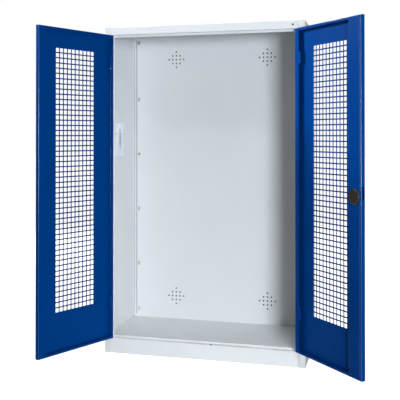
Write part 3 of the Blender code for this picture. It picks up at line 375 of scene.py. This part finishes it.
def paper(name):
    """A pale page with a slanted fold painted white as a highlight, and a soft, meaningless grey shape beside it.
    """
    material, tree, shader = new_material(name)
    fibres = spread(tree, noise(tree, scale=350.0, detail=4.0), 0.0, 1.0)
    page = mixed(tree, fibres, (0.77, 0.82, 0.91), (0.83, 0.875, 0.955))
    # Painted highlight along the fold
    page = mixed(tree, fold_highlight_mask(tree), page, (0.97, 0.98, 1.0))
    page = mixed(tree, ragged_oval_mask(tree, SHAPE_CENTRE, SHAPE_RADII), page, (0.33, 0.36, 0.40))
    tree.links.new(page, shader.inputs["Base Color"])
    shader.inputs["Roughness"].default_value = 0.75
    bump(tree, shader, noise(tree, scale=500.0, detail=3.0), strength=0.05, distance=0.0002)
    return material


def fold_highlight_mask(tree):
    """A band up the page, leaning back towards its top, where a painted highlight marks the fold."""
    lean = worked_out(tree, "VectorMath", "DOT_PRODUCT", object_place(tree), (0.0, 1.0, -FOLD_LEAN))
    offset = worked_out(tree, "Math", "SUBTRACT", lean, FOLD_Y - FOLD_LEAN * FOLD_Z)
    return spread(tree, worked_out(tree, "Math", "ABSOLUTE", offset), 1.0, 0.0, *FOLD_EDGES)


def ragged_oval_mask(tree, centre, radii):
    """A soft, ragged oval about a point, as a mask."""
    moved = worked_out(tree, "VectorMath", "SUBTRACT", object_place(tree), centre, result="Vector")
    scaled = worked_out(tree, "VectorMath", "DIVIDE", moved, radii, result="Vector")
    length = worked_out(tree, "VectorMath", "LENGTH", scaled)
    rags = spread(tree, noise(tree, scale=55.0, detail=3.0), -0.45, 0.45)
    ragged = worked_out(tree, "Math", "ADD", length, rags)
    return spread(tree, ragged, 1.0, 0.0, start=0.75, stop=1.15)


GREY_PAINT = paint("carcass_grey_paint", (0.655, 0.685, 0.70), roughness=0.33, specular=0.55)
# Bend and rim finishes: glossier, and lighter than their paint or plastic as a painted highlight along folds and
# rims
GREY_BEND_HIGHLIGHT = paint("carcass_grey_bends_painted_highlight", (0.84, 0.87, 0.90), roughness=0.20, specular=0.60)
BLUE_PAINT = paint("door_blue_paint", (0.0, 0.0385, 0.194), roughness=0.33, specular=0.03,
                   tint=(0.1, 0.4, 1.0), cloud=0.04, edge=1.35)
BLUE_BEND_HIGHLIGHT = paint("door_blue_bends_painted_highlight", (0.006, 0.070, 0.300), roughness=0.19, specular=1.00,
                  tint=(0.9, 0.93, 1.0), cloud=0.04, edge=1.35)
ZINC = zinc("zinc_steel_finish")
BLACK = moulded("black_moulded", (0.017, 0.011, 0.0072), roughness=0.44, grain=900.0, specular=0.22)
BLACK_RIM_HIGHLIGHT = moulded("black_moulded_rim_painted_highlight", (0.022, 0.016, 0.011), roughness=0.20, grain=1800.0,
                    specular=0.9)
FILM = film("clear_pocket_film")
PAPER = paper("leaflet_paper")
# Dark print for the shelf numbers, also used for the painted shade strips at the rear gaps
PRINT_AND_GAP_SHADE = moulded("number_print_and_gap_shade", (0.03, 0.034, 0.038), roughness=0.6, grain=900.0)
BEND_HIGHLIGHT_FINISHES = {GREY_PAINT: GREY_BEND_HIGHLIGHT, BLUE_PAINT: BLUE_BEND_HIGHLIGHT, BLACK: BLACK_RIM_HIGHLIGHT}
FINISHES = {
    "carcass_grey": GREY_PAINT,
    "door_blue": BLUE_PAINT,
    "zinc_steel": ZINC,
    "black_plastic": BLACK,
    "clear_film": FILM,
    "paper": PAPER,
}


# Mesh helpers
def make_object(name, mesh):
    item = bpy.data.objects.new(name, mesh)
    bpy.context.scene.collection.objects.link(item)
    return item


def baked(item):
    """The item's mesh with its modifiers applied; the item itself goes."""
    bpy.context.view_layer.update()
    ready = item.evaluated_get(bpy.context.evaluated_depsgraph_get())
    mesh = bpy.data.meshes.new_from_object(ready)
    bpy.data.objects.remove(item, do_unlink=True)
    return mesh


def boxes_mesh(boxes):
    mesh = bpy.data.meshes.new("boxes")
    work = bmesh.new()
    for low, high in boxes:
        low, high = Vector(low), Vector(high)
        made = bmesh.ops.create_cube(work, size=1.0)["verts"]
        bmesh.ops.scale(work, vec=high - low, verts=made)
        bmesh.ops.translate(work, vec=(low + high) / 2, verts=made)
    work.to_mesh(mesh)
    work.free()
    return mesh


def cylinder_into(work, place, axis, radius, length, sides=32):
    turn = Vector((0, 0, 1)).rotation_difference(Vector(axis)).to_matrix().to_4x4()
    bmesh.ops.create_cone(work, cap_ends=True, segments=sides, radius1=radius, radius2=radius,
                          depth=length, matrix=Matrix.Translation(place) @ turn)


def cutter_mesh(boxes=(), drills=()):
    """Boxes to cut away, and round holes to drill, each given by its place, axis and radius."""
    mesh = boxes_mesh(boxes)
    work = bmesh.new()
    work.from_mesh(mesh)
    for place, axis, radius in drills:
        cylinder_into(work, place, axis, radius, DRILL_LENGTH)
    work.to_mesh(mesh)
    work.free()
    return mesh


def combined(mesh, other, operation):
    """An exact Boolean of two meshes, as a new mesh."""
    first = make_object("first", mesh)
    second = make_object("second", other)
    modifier = first.modifiers.new("combine", "BOOLEAN")
    modifier.operation = operation
    modifier.solver = "EXACT"
    modifier.object = second
    result = baked(first)
    bpy.data.objects.remove(second, do_unlink=True)
    return result


def thickened(mesh, thickness, offset):
    item = make_object("sheet", mesh)
    shell = item.modifiers.new("sheet", "SOLIDIFY")
    shell.thickness = thickness
    shell.offset = offset
    shell.use_even_offset = True
    return baked(item)


def rounded(path, radius):
    """The path with an arc of the radius in place of each inner corner."""
    points = [Vector(path[0])]
    for before, corner, after in zip(path, path[1:], path[2:]):
        corner = Vector(corner)
        back = (Vector(before) - corner).normalized()
        ahead = (Vector(after) - corner).normalized()
        half = back.angle(ahead) / 2
        centre = corner + (back + ahead).normalized() * (radius / sin(half))
        start = corner + back * (radius / tan(half)) - centre
        stop = corner + ahead * (radius / tan(half)) - centre
        sweep = start.angle_signed(stop)
        for step in range(FOLD_STEPS + 1):
            arm = start.copy()
            arm.rotate(Matrix.Rotation(-sweep * step / FOLD_STEPS, 2))
            points.append(centre + arm)
    points.append(Vector(path[-1]))
    return points


def coated(mesh, finish):
    """Gives a bare mesh its finish; faces of index 1 are bends and rims, where it is glossier and painted lighter
    as a highlight.
    """
    mesh.materials.append(finish)
    mesh.materials.append(BEND_HIGHLIGHT_FINISHES[finish])
    return mesh


def fold_mesh(path, plane, start, stop, grow, radius=FOLD_RADIUS, finish=GREY_PAINT):
    """A sheet bent along a path with rounded folds, drawn out square to the path's plane."""
    along = Vector((0, 0, 1)) if plane == "XY" else Vector((1, 0, 0))
    mesh = bpy.data.meshes.new("fold")
    work = bmesh.new()
    rows = []
    for first, second in rounded(path, radius):
        place = Vector((first, second, start)) if plane == "XY" else Vector((start, first, second))
        rows.append((work.verts.new(place), work.verts.new(place + along * (stop - start))))
    for index, ((a, b), (c, d)) in enumerate(zip(rows, rows[1:])):
        face = work.faces.new((a, c, d, b))
        face.material_index = 1 if index % (FOLD_STEPS + 1) else 0
    work.normal_update()
    work.faces.ensure_lookup_table()
    travel = rows[1][0].co - rows[0][0].co
    if work.faces[0].normal.dot(travel.cross(along)) < 0:
        bmesh.ops.reverse_faces(work, faces=work.faces[:])
    work.to_mesh(mesh)
    work.free()
    return thickened(coated(mesh, finish), SHEET, 1.0 if grow == "right" else -1.0)


def turned_mesh(profile, sides):
    """A solid turned about Z from radius and height pairs, closed on itself if off the axis."""
    mesh = bpy.data.meshes.new("turned")
    work = bmesh.new()
    angles = [2 * pi * k / sides for k in range(sides)]
    rings = []
    for radius, height in profile:
        around = angles if radius > 0.0 else (0.0,)
        rings.append([work.verts.new((radius * cos(angle), radius * sin(angle), height))
                      for angle in around])
    pairs = list(zip(rings, rings[1:]))
    if len(rings[0]) > 1:
        pairs.append((rings[-1], rings[0]))
    for upper, lower in pairs:
        for k in range(sides):
            n = (k + 1) % sides
            corners = [upper[k % len(upper)], lower[k % len(lower)],
                       lower[n % len(lower)], upper[n % len(upper)]]
            unique = list(dict.fromkeys(corners))
            if len(unique) > 2:
                work.faces.new(unique)
    bmesh.ops.recalc_face_normals(work, faces=work.faces)
    work.to_mesh(mesh)
    work.free()
    return mesh


def flat_mesh(outlines, thickness):
    """A flat blank in the XY plane, centred on it; outlines after the first are holes."""
    points, loops = [], []
    for outline in outlines:
        loops.append(list(range(len(points), len(points) + len(outline))))
        points += [Vector(point) for point in outline]
    places, _, faces, _, _, origins = delaunay_2d_cdt(points, [], loops, 1, 1e-7)
    solid = [face for face, origin in zip(faces, origins) if origin == [0]]
    mesh = bpy.data.meshes.new("blank")
    mesh.from_pydata([(first, second, 0.0) for first, second in places], [], solid)
    return thickened(mesh, thickness, 0.0)


def circle(centre, radius, sides):
    angles = [2 * pi * k / sides for k in range(sides)]
    return [(centre[0] + radius * cos(angle), centre[1] + radius * sin(angle)) for angle in angles]


def rounded_box(centre, width, height, corner, steps=2):
    points = []
    for quarter, (sx, sz) in enumerate(((1, 1), (-1, 1), (-1, -1), (1, -1))):
        cx = centre[0] + sx * (width / 2 - corner)
        cz = centre[1] + sz * (height / 2 - corner)
        for step in range(steps + 1):
            angle = pi / 2 * (quarter + step / steps)
            points.append((cx + corner * cos(angle), cz + corner * sin(angle)))
    return points


def facing_front(place):
    """Stands a mesh that was made in the XY plane up, facing -Y, at a place."""
    return Matrix.Translation(place) @ Matrix.Rotation(pi / 2, 4, "X")


def dress(name, mesh, material, body, nodes=(), weighted=True):
    """A finished piece: shading, finish, slot, body and the CAD nodes that it stands for."""
    mesh.name = name
    if not mesh.materials:
        mesh.materials.append(material)
    mesh.shade_smooth()
    mesh.set_sharp_from_angle(angle=radians(35.0))
    item = make_object(name, mesh)
    if weighted:
        normals = item.modifiers.new("flat_faces_lead", "WEIGHTED_NORMAL")
        normals.keep_sharp = True
    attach(item, body)
    if nodes:
        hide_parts(*nodes)
    return item


def opened(side):
    """The turn from the closed to the open pose of one door."""
    joint = JOINTS["left_door_hinge" if side == LEFT else "right_door_hinge"]
    place = Matrix.Translation(joint["pos_m"])
    turn = Matrix.Rotation(-radians(joint["range_deg"][0]), 4, Vector(joint["axis"]))
    return place @ turn @ place.inverted()


# Carcass pieces
def notch_box(side, near, far, z):
    low_x, high_x = sorted((side * near, side * far))
    half = HINGE_HALF + NOTCH_END_CLEARANCE
    return ((low_x, FRONT_Y - OVERRUN, z - half),
            (high_x, FRONT_Y + KNUCKLE_RADIUS + NOTCH_CLEARANCE, z + half))


def side_panel(side, name):
    wall, reveal, stop = side * HALF_WIDTH, side * OPENING_HALF, side * STOP_HALF
    path = [(wall - side * REAR_FLANGE_SEEN, SIDE_REAR_Y), (wall, SIDE_REAR_Y), (wall, FRONT_Y),
            (reveal, FRONT_Y), (reveal, STOP_Y), (stop, STOP_Y), (stop, POST_REAR_Y)]
    mesh = fold_mesh(path, "XY", 0.0, CARCASS_TOP, "left" if side == LEFT else "right")
    far = HINGE_AXIS_X + KNUCKLE_RADIUS + NOTCH_CLEARANCE
    notches = [notch_box(side, OPENING_HALF - OVERRUN, far, z) for z in HINGE_HEIGHTS]
    mesh = combined(mesh, cutter_mesh(notches), "DIFFERENCE")
    dress(name + "_sheet", mesh, GREY_PAINT, "cabinet", [name])


def back_panel():
    """The back sheet with its ventilation diamonds and two full columns of shelf slots."""
    low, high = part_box("back_panel")
    middle_z = (low[2] + high[2]) / 2
    outlines = [[(low[0], low[2]), (high[0], low[2]), (high[0], high[2]), (low[0], high[2])]]
    for x in (-VENT_FROM_CENTRE, VENT_FROM_CENTRE):
        for z in VENT_HEIGHTS:
            for row in range(-VENT_RINGS, VENT_RINGS + 1):
                reach = VENT_RINGS - abs(row)
                for column in range(-reach, reach + 1):
                    centre = (x + column * VENT_PITCH, z + row * VENT_PITCH)
                    outlines.append(circle(centre, VENT_RADIUS, VENT_SIDES))
    for side in (LEFT, RIGHT):
        for index in range(SLOT_COUNT):
            centre = (side * SLOT_X, SLOT_LOWEST + index * SLOT_PITCH)
            outlines.append(rounded_box(centre, *SLOT_SIZE, SLOT_CORNER))
    mesh = flat_mesh([[(x, z - middle_z) for x, z in outline] for outline in outlines], SHEET)
    mesh.transform(facing_front((0.0, (low[1] + high[1]) / 2, middle_z)))
    dress("back_panel_sheet", mesh, GREY_PAINT, "cabinet", ["back_panel"])


def top_panel():
    """The top sheet with its fascia, the lip that the doors stop on and a rear flange."""
    half = OPENING_HALF - JOINT_GAP
    fascia = fold_mesh([(BACK_Y, HEIGHT - TOP_REAR_FLANGE), (BACK_Y, HEIGHT), (FRONT_Y, HEIGHT),
                        (FRONT_Y, FASCIA_BOTTOM), (STOP_Y - SEAT_GAP, FASCIA_BOTTOM)],
                       "YZ", -half, half, "left")
    stop_half = STOP_HALF - SEAT_GAP
    lip = fold_mesh([((FRONT_Y + STOP_Y) / 2, FASCIA_BOTTOM), (STOP_Y, FASCIA_BOTTOM),
                     (STOP_Y, FASCIA_STOP), (POST_REAR_Y, FASCIA_STOP)],
                    "YZ", -stop_half, stop_half, "left", LIP_FOLD_RADIUS)
    cover = boxes_mesh([((-HALF_WIDTH, FRONT_Y + FOLD_RADIUS, HEIGHT - SHEET),
                         (HALF_WIDTH, BACK_Y - FOLD_RADIUS, HEIGHT))])
    mesh = combined(combined(fascia, cover, "UNION"), lip, "UNION")
    drills = [((LOCK_X, ROD_Y, FASCIA_BOTTOM), (0, 0, 1), ROD_HOLE_RADIUS),
              ((PLUG_X, FRONT_Y, PLUG_Z), (0, 1, 0), PLUG_HOLE_RADIUS)]
    mesh = combined(mesh, cutter_mesh(drills=drills), "DIFFERENCE")
    dress("top_panel_sheet", mesh, GREY_PAINT, "cabinet", ["top_panel"])


def floor_panel():
    """The floor sheet, folded down at the front between the stop lips."""
    half = STOP_HALF - SEAT_GAP
    tray = fold_mesh([(FLOOR_REAR_Y - OVERRUN, FLOOR_TOP), (STOP_Y, FLOOR_TOP),
                      (STOP_Y, FLOOR_FOLD_BOTTOM)], "YZ", -half, half, "left", FLOOR_FOLD_RADIUS)
    wide = HALF_WIDTH - SHEET - SEAT_GAP
    sheet = boxes_mesh([((-wide, POST_REAR_Y + SEAT_GAP, FLOOR_TOP - SHEET),
                         (wide, FLOOR_REAR_Y, FLOOR_TOP))])
    dress("floor_panel_sheet", combined(tray, sheet, "UNION"), GREY_PAINT,
          "cabinet", ["floor_panel"])


def plinth_front():
    """The plinth with the lower rod's hole, drilled wide so that it reads as a dark dot."""
    half = OPENING_HALF - JOINT_GAP
    mesh = fold_mesh([(STOP_Y - SEAT_GAP, PLINTH_TOP), (FRONT_Y, PLINTH_TOP), (FRONT_Y, 0.0),
                      (FRONT_Y + FOOT_FLANGE, 0.0)], "YZ", -half, half, "left")
    hole = cutter_mesh(drills=[((LOCK_X, ROD_Y, PLINTH_TOP), (0, 0, 1), PLINTH_ROD_HOLE_RADIUS)])
    dress("plinth_front_sheet", combined(mesh, hole, "DIFFERENCE"), GREY_PAINT,
          "cabinet", ["plinth_front"])


def rear_gap_shades():
    """A dark strip as painted shade in the gap between each side wall's rear flange and the back panel."""
    edge = HALF_WIDTH - REAR_FLANGE_SEEN
    near, far = REAR_GAP_SHADE_DEPTHS
    for side, word in SIDES:
        low_x, high_x = sorted((side * (edge - SEAT_GAP), side * (edge - SEAT_GAP - REAR_GAP_SHADE_WIDTH)))
        strip = boxes_mesh([((low_x, BACK_PANEL_Y - near, FLOOR_TOP + SEAT_GAP),
                             (high_x, BACK_PANEL_Y - far, FASCIA_STOP + REAR_GAP_SHADE_ABOVE_STOP))])
        dress(f"rear_gap_shade_{word}", strip, PRINT_AND_GAP_SHADE, "cabinet", weighted=False)


def fascia_plug():
    """A small round plastic plug in the hole at the right end of the fascia."""
    mesh = turned_mesh(PLUG_PROFILE, PLUG_SIDES)
    mesh.transform(facing_front((PLUG_X, FRONT_Y + PLUG_INSET, PLUG_Z)))
    dress("fascia_plug_cap", mesh, BLACK, "cabinet")


def slot_numbers():
    """Plain numbers that count the shelf heights from the bottom, printed beside the slots."""
    for side, word in SIDES:
        for index, z in enumerate(NUMBER_HEIGHTS):
            text = bpy.data.curves.new("number", "FONT")
            text.body = str(index + 1)
            text.size = NUMBER_SIZE
            text.extrude = NUMBER_HALF_THICKNESS
            text.offset = NUMBER_STROKE
            text.align_x = "CENTER"
            text.align_y = "CENTER"
            mesh = baked(make_object("number", text))
            mesh.transform(facing_front((side * NUMBER_X, BACK_PANEL_Y - NUMBER_LIFT, z)))
            dress(f"shelf_number_{word}_{index + 1}", mesh, PRINT_AND_GAP_SHADE, "cabinet",
                  weighted=False)


# Door pieces
def leaf_mesh(side):
    """A perforated door as an open surface: front sheet, rounded returns and lips."""
    work = bmesh.new()

    def corner(u, z, depth):
        return work.verts.new((side * (CLOSING_EDGE + u), FRONT_Y + depth, z))

    def ring(closing, hinge, end, depth):
        u0, u1 = closing, DOOR_WIDTH - hinge
        z0, z1 = DOOR_BOTTOM + end, DOOR_TOP - end
        return [corner(u, z, depth) for u, z in ((u0, z0), (u1, z0), (u1, z1), (u0, z1))]

    angles = [pi / 2 * step / FOLD_STEPS for step in range(FOLD_STEPS + 1)]
    rings = []
    for angle in angles:
        inset = FOLD_RADIUS * (1 - sin(angle))
        rings.append(ring(inset, inset, inset, FOLD_RADIUS * (1 - cos(angle))))
    for angle in angles:
        inset = FOLD_RADIUS * (1 - cos(angle))
        rings.append(ring(inset, inset, inset, DOOR_DEPTH - FOLD_RADIUS * (1 - sin(angle))))
    rings.append(ring(CLOSING_LIP[side], HINGE_LIP[side], END_LIP, DOOR_DEPTH))
    for index, (outer, inner) in enumerate(zip(rings, rings[1:])):
        for k in range(4):
            n = (k + 1) % 4
            face = work.faces.new((outer[k], outer[n], inner[n], inner[k]))
            face.material_index = 1 if (index + 1) % (FOLD_STEPS + 1) else 0
    perforate(work, corner, rings[0])
    bmesh.ops.recalc_face_normals(work, faces=work.faces)
    front = max(work.faces, key=lambda face: face.calc_area())
    if front.normal.y > 0:
        bmesh.ops.reverse_faces(work, faces=work.faces[:])
    mesh = bpy.data.meshes.new("leaf")
    work.to_mesh(mesh)
    work.free()
    return mesh


def perforate(work, corner, frame_ring):
    """Fills the front sheet inside its ring with a grid of square holes with rounded corners."""
    left = DOOR_WIDTH / 2 - COLUMNS * HOLE_PITCH / 2
    low = FIELD_CENTRE_Z - ROWS * HOLE_PITCH / 2
    grid = [[corner(left + i * HOLE_PITCH, low + j * HOLE_PITCH, 0.0) for i in range(COLUMNS + 1)]
            for j in range(ROWS + 1)]
    for j in range(ROWS):
        for i in range(COLUMNS):
            centre = (left + (i + 0.5) * HOLE_PITCH, low + (j + 0.5) * HOLE_PITCH)
            points = rounded_box(centre, 2 * HOLE_HALF, 2 * HOLE_HALF, HOLE_CORNER)
            hole = [corner(u, z, 0.0) for u, z in points]
            cell = [grid[j + 1][i + 1], grid[j + 1][i], grid[j][i], grid[j][i + 1]]
            for k in range(4):
                n = (k + 1) % 4
                work.faces.new((cell[k], hole[3 * k + 1], hole[3 * k]))
                work.faces.new((cell[k], hole[3 * k + 2], hole[3 * k + 1]))
                work.faces.new((cell[k], cell[n], hole[3 * n], hole[3 * k + 2]))
    bottom = grid[0][::-1]
    far = [row[COLUMNS] for row in reversed(grid)]
    top = grid[ROWS]
    near = [row[0] for row in grid]
    for k, edge in enumerate((bottom, far, top, near)):
        work.faces.new([frame_ring[k], frame_ring[(k + 1) % 4]] + edge)


def leaf_cuts(side):
    """The hinge and lip notches, the tongue's slot and the right door's rod and spindle holes."""
    boxes = []
    near = HINGE_AXIS_X - KNUCKLE_RADIUS - NOTCH_CLEARANCE
    back = FRONT_Y + DOOR_DEPTH
    for z in HINGE_HEIGHTS:
        boxes.append(notch_box(side, near, HINGE_EDGE + NOTCH_CLEARANCE, z))
        low_x, high_x = sorted((side * (HINGE_EDGE - HINGE_LIP[side] - OVERRUN),
                                side * (HINGE_EDGE + OVERRUN)))
        boxes.append(((low_x, back - SHEET - SEAT_GAP / 2, z - HINGE_HALF - NOTCH_CLEARANCE),
                      (high_x, back + OVERRUN, z + HINGE_HALF + NOTCH_CLEARANCE)))
    low_x, high_x = sorted((side * CLOSING_EDGE / 2, side * (CLOSING_EDGE + SHEET + OVERRUN)))
    shallow, deep = TONGUE_SLOT_DEPTHS
    below, above = TONGUE_SLOT_REACHES
    boxes.append(((low_x, FRONT_Y + shallow, LOCK_Z - below),
                  (high_x, FRONT_Y + deep, LOCK_Z + above)))
    drills = []
    if side == RIGHT:
        drills = [((LOCK_X, ROD_Y, DOOR_TOP), (0, 0, 1), ROD_HOLE_RADIUS),
                  ((LOCK_X, ROD_Y, DOOR_BOTTOM), (0, 0, 1), ROD_HOLE_RADIUS),
                  ((LOCK_X, FRONT_Y, LOCK_Z), (0, 1, 0), SPINDLE_HOLE_RADIUS)]
    return cutter_mesh(boxes, drills)


def door_leaf(side, word):
    mesh = thickened(coated(leaf_mesh(side), BLUE_PAINT), SHEET, -1.0)
    mesh = combined(mesh, leaf_cuts(side), "DIFFERENCE")
    mesh.transform(opened(side))
    name = "door_leaf_" + word
    dress(name + "_sheet", mesh, BLUE_PAINT, word + "_door", [name])


def lock_channel():
    """The box-shaped strip that covers the rods, from a foot on the front sheet to the lip."""
    start = CLOSING_EDGE + CLOSING_LIP[RIGHT] + SEAT_GAP
    stop = start + CHANNEL_WIDTH
    foot = FRONT_Y + 2 * SHEET + SEAT_GAP
    back = FRONT_Y + DOOR_DEPTH
    low, high = (corner[2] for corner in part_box("lock_channel"))
    mesh = fold_mesh([(start, back - CHANNEL_TURN), (start, back), (stop, back), (stop, foot),
                      (stop + CHANNEL_FOOT, foot)],
                     "XY", low, high, "right", CHANNEL_FOLD_RADIUS, BLUE_PAINT)
    mesh.transform(opened(RIGHT))
    dress("lock_channel_sheet", mesh, BLUE_PAINT, "right_door", ["lock_channel"])


def lock_cover():
    """The round cover: flat face inside a raised, chamfered rim, whose slopes are glossier and painted lighter as
    a highlight.
    """
    mesh = coated(turned_mesh(COVER_PROFILE, COVER_SIDES), BLACK)
    for face in mesh.polygons:
        sloped = face.normal.z > COVER_RIM_SLOPE and face.normal.xy.length > COVER_RIM_SLOPE
        if sloped and face.center.xy.length > COVER_RIM_RADIUS:
            face.material_index = 1
    mesh.transform(Matrix.Translation((LOCK_X, FRONT_Y + DOOR_DEPTH + SEAT_GAP, LOCK_Z))
                   @ Matrix.Rotation(-pi / 2, 4, "X"))
    mesh.transform(opened(RIGHT))
    dress("lock_cover_cap", mesh, BLACK, "right_door", ["lock_cover"])


# Setting
def add_camera():
    data = bpy.data.cameras.new("photo_camera")
    data.sensor_width = SENSOR
    data.lens = FOCAL_PIXELS / PHOTO_PIXELS * SENSOR
    data.shift_y = SHIFT_PIXELS / PHOTO_PIXELS
    data.clip_end = CAMERA_REACH
    camera = make_object("photo_camera", data)
    camera.location = CAMERA_PLACE
    camera.rotation_euler = (pi / 2 + CAMERA_PITCH, 0.0, CAMERA_YAW)
    bpy.context.scene.camera = camera


def dull_material(name):
    material, tree, shader = new_material(name)
    shader.inputs["Roughness"].default_value = 0.9
    shader.inputs["Specular IOR Level"].default_value = 0.0
    return material, tree, shader


def add_floor():
    """A pale floor: white to the camera, softly shadowed, and painted dark as shadow under the cabinet."""
    mesh = boxes_mesh([STAGE_FLOOR_BOX])
    floor = make_object("studio_floor", mesh)
    material, tree, shader = dull_material("pale_floor")
    place = object_place(tree)
    middle = (0.0, (FRONT_Y + BACK_Y) / 2, 0.0)
    from_origin = worked_out(tree, "VectorMath", "LENGTH", place)
    from_middle = worked_out(tree, "VectorMath", "DISTANCE", place, middle)
    bright = spread(tree, from_origin, 0.86, 1.0, start=3.0, stop=9.0)
    # Painted shadow: beneath the cabinet's middle the floor is dark and does not glow
    outside_painted_shadow = spread(tree, from_middle, 0.0, 1.0, start=0.20, stop=0.24)
    color = mixed(tree, outside_painted_shadow, PAINTED_SHADE_DARK, STAGE_FLOOR_GREY)
    tree.links.new(color, shader.inputs["Base Color"])
    glow = add_node(tree, "ShaderNodeEmission")
    strength = worked_out(tree, "Math", "MULTIPLY", bright, outside_painted_shadow)
    tree.links.new(strength, glow.inputs["Strength"])
    none = add_node(tree, "ShaderNodeEmission", {"Strength": 0.0})
    path = add_node(tree, "ShaderNodeLightPath")
    shown = mixed_shaders(tree, path.outputs["Is Camera Ray"], none, glow)
    both = add_node(tree, "ShaderNodeAddShader")
    tree.links.new(shader.outputs[0], both.inputs[0])
    tree.links.new(shown.outputs[0], both.inputs[1])
    tree.links.new(both.outputs[0], tree.nodes["Material Output"].inputs["Surface"])
    mesh.materials.append(material)


def add_dark_card():
    """Stands for the unlit wall behind the cabinet; only the camera sees it, from the front."""
    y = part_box("back_panel")[1][1] + CARD_GAP
    low, high = CARD_HEIGHTS
    mesh = bpy.data.meshes.new("dark_card")
    mesh.from_pydata([(-CARD_HALF_WIDTH, y, low), (CARD_HALF_WIDTH, y, low),
                      (CARD_HALF_WIDTH, y, high), (-CARD_HALF_WIDTH, y, high)], [], [(0, 1, 2, 3)])
    card = make_object("dark_card", mesh)
    material, tree, shader = dull_material("dark_card")
    shader.inputs["Base Color"].default_value = (*PAINTED_SHADE_DARK, 1.0)
    geometry = add_node(tree, "ShaderNodeNewGeometry")
    path = add_node(tree, "ShaderNodeLightPath")
    unseen = worked_out(tree, "Math", "SUBTRACT", 1.0, path.outputs["Is Camera Ray"])
    either = worked_out(tree, "Math", "MAXIMUM", geometry.outputs["Backfacing"], unseen)
    clear = add_node(tree, "ShaderNodeBsdfTransparent")
    shown = mixed_shaders(tree, either, shader, clear)
    tree.links.new(shown.outputs[0], tree.nodes["Material Output"].inputs["Surface"])
    mesh.materials.append(material)


def add_light(name, place, aim, size, power, color, spread_degrees):
    data = bpy.data.lights.new(name, "AREA")
    data.shape = "RECTANGLE"
    data.size, data.size_y = size
    data.energy = power
    data.color = color
    data.spread = radians(spread_degrees)
    light = make_object(name, data)
    light.location = place
    light.rotation_euler = (Vector(place) - Vector(aim)).to_track_quat("Z", "Y").to_euler()


def add_world():
    """A faint warm fill, which the camera sees as white and glossy surfaces as partly white."""
    world = bpy.data.worlds.new("studio")
    bpy.context.scene.world = world
    world.use_nodes = True
    tree = world.node_tree
    fill = tree.nodes["Background"]
    fill.inputs["Color"].default_value = (*FILL_COLOR, 1.0)
    fill.inputs["Strength"].default_value = FILL_STRENGTH
    white = add_node(tree, "ShaderNodeBackground", {"Strength": 1.0})
    white.inputs["Color"].default_value = (*WHITE, 1.0)
    path = add_node(tree, "ShaderNodeLightPath")
    straight = worked_out(tree, "Math", "MAXIMUM", path.outputs["Is Camera Ray"],
                          path.outputs["Is Transmission Ray"])
    shine = worked_out(tree, "Math", "MULTIPLY", path.outputs["Is Glossy Ray"], GLOSSY_SHARE)
    whiteness = worked_out(tree, "Math", "MAXIMUM", straight, shine)
    shown = mixed_shaders(tree, whiteness, fill, white)
    tree.links.new(shown.outputs[0], tree.nodes["World Output"].inputs["Surface"])


def finish_cad_nodes():
    """Every CAD node gets the finish of its material slot, and door paint covers the hinge pins."""
    slots = {part["node"]: part["material_slot"] for part in frame["record"]["subparts"]}
    for name, node in NODES.items():
        for slot in node.material_slots:
            slot.material = BLUE_PAINT if name.endswith("_pin") else FINISHES[slots[name]]


add_camera()
finish_cad_nodes()
for panel_side, side_word in SIDES:
    side_panel(panel_side, "side_panel_" + side_word)
back_panel()
top_panel()
floor_panel()
plinth_front()
rear_gap_shades()
fascia_plug()
slot_numbers()
for leaf_side, side_word in SIDES:
    door_leaf(leaf_side, side_word)
lock_channel()
lock_cover()
add_floor()
add_dark_card()
for lamp_name, lamp in LAMPS.items():
    add_light(lamp_name, *lamp)
add_world()
bpy.context.scene.view_settings.view_transform = "Standard"
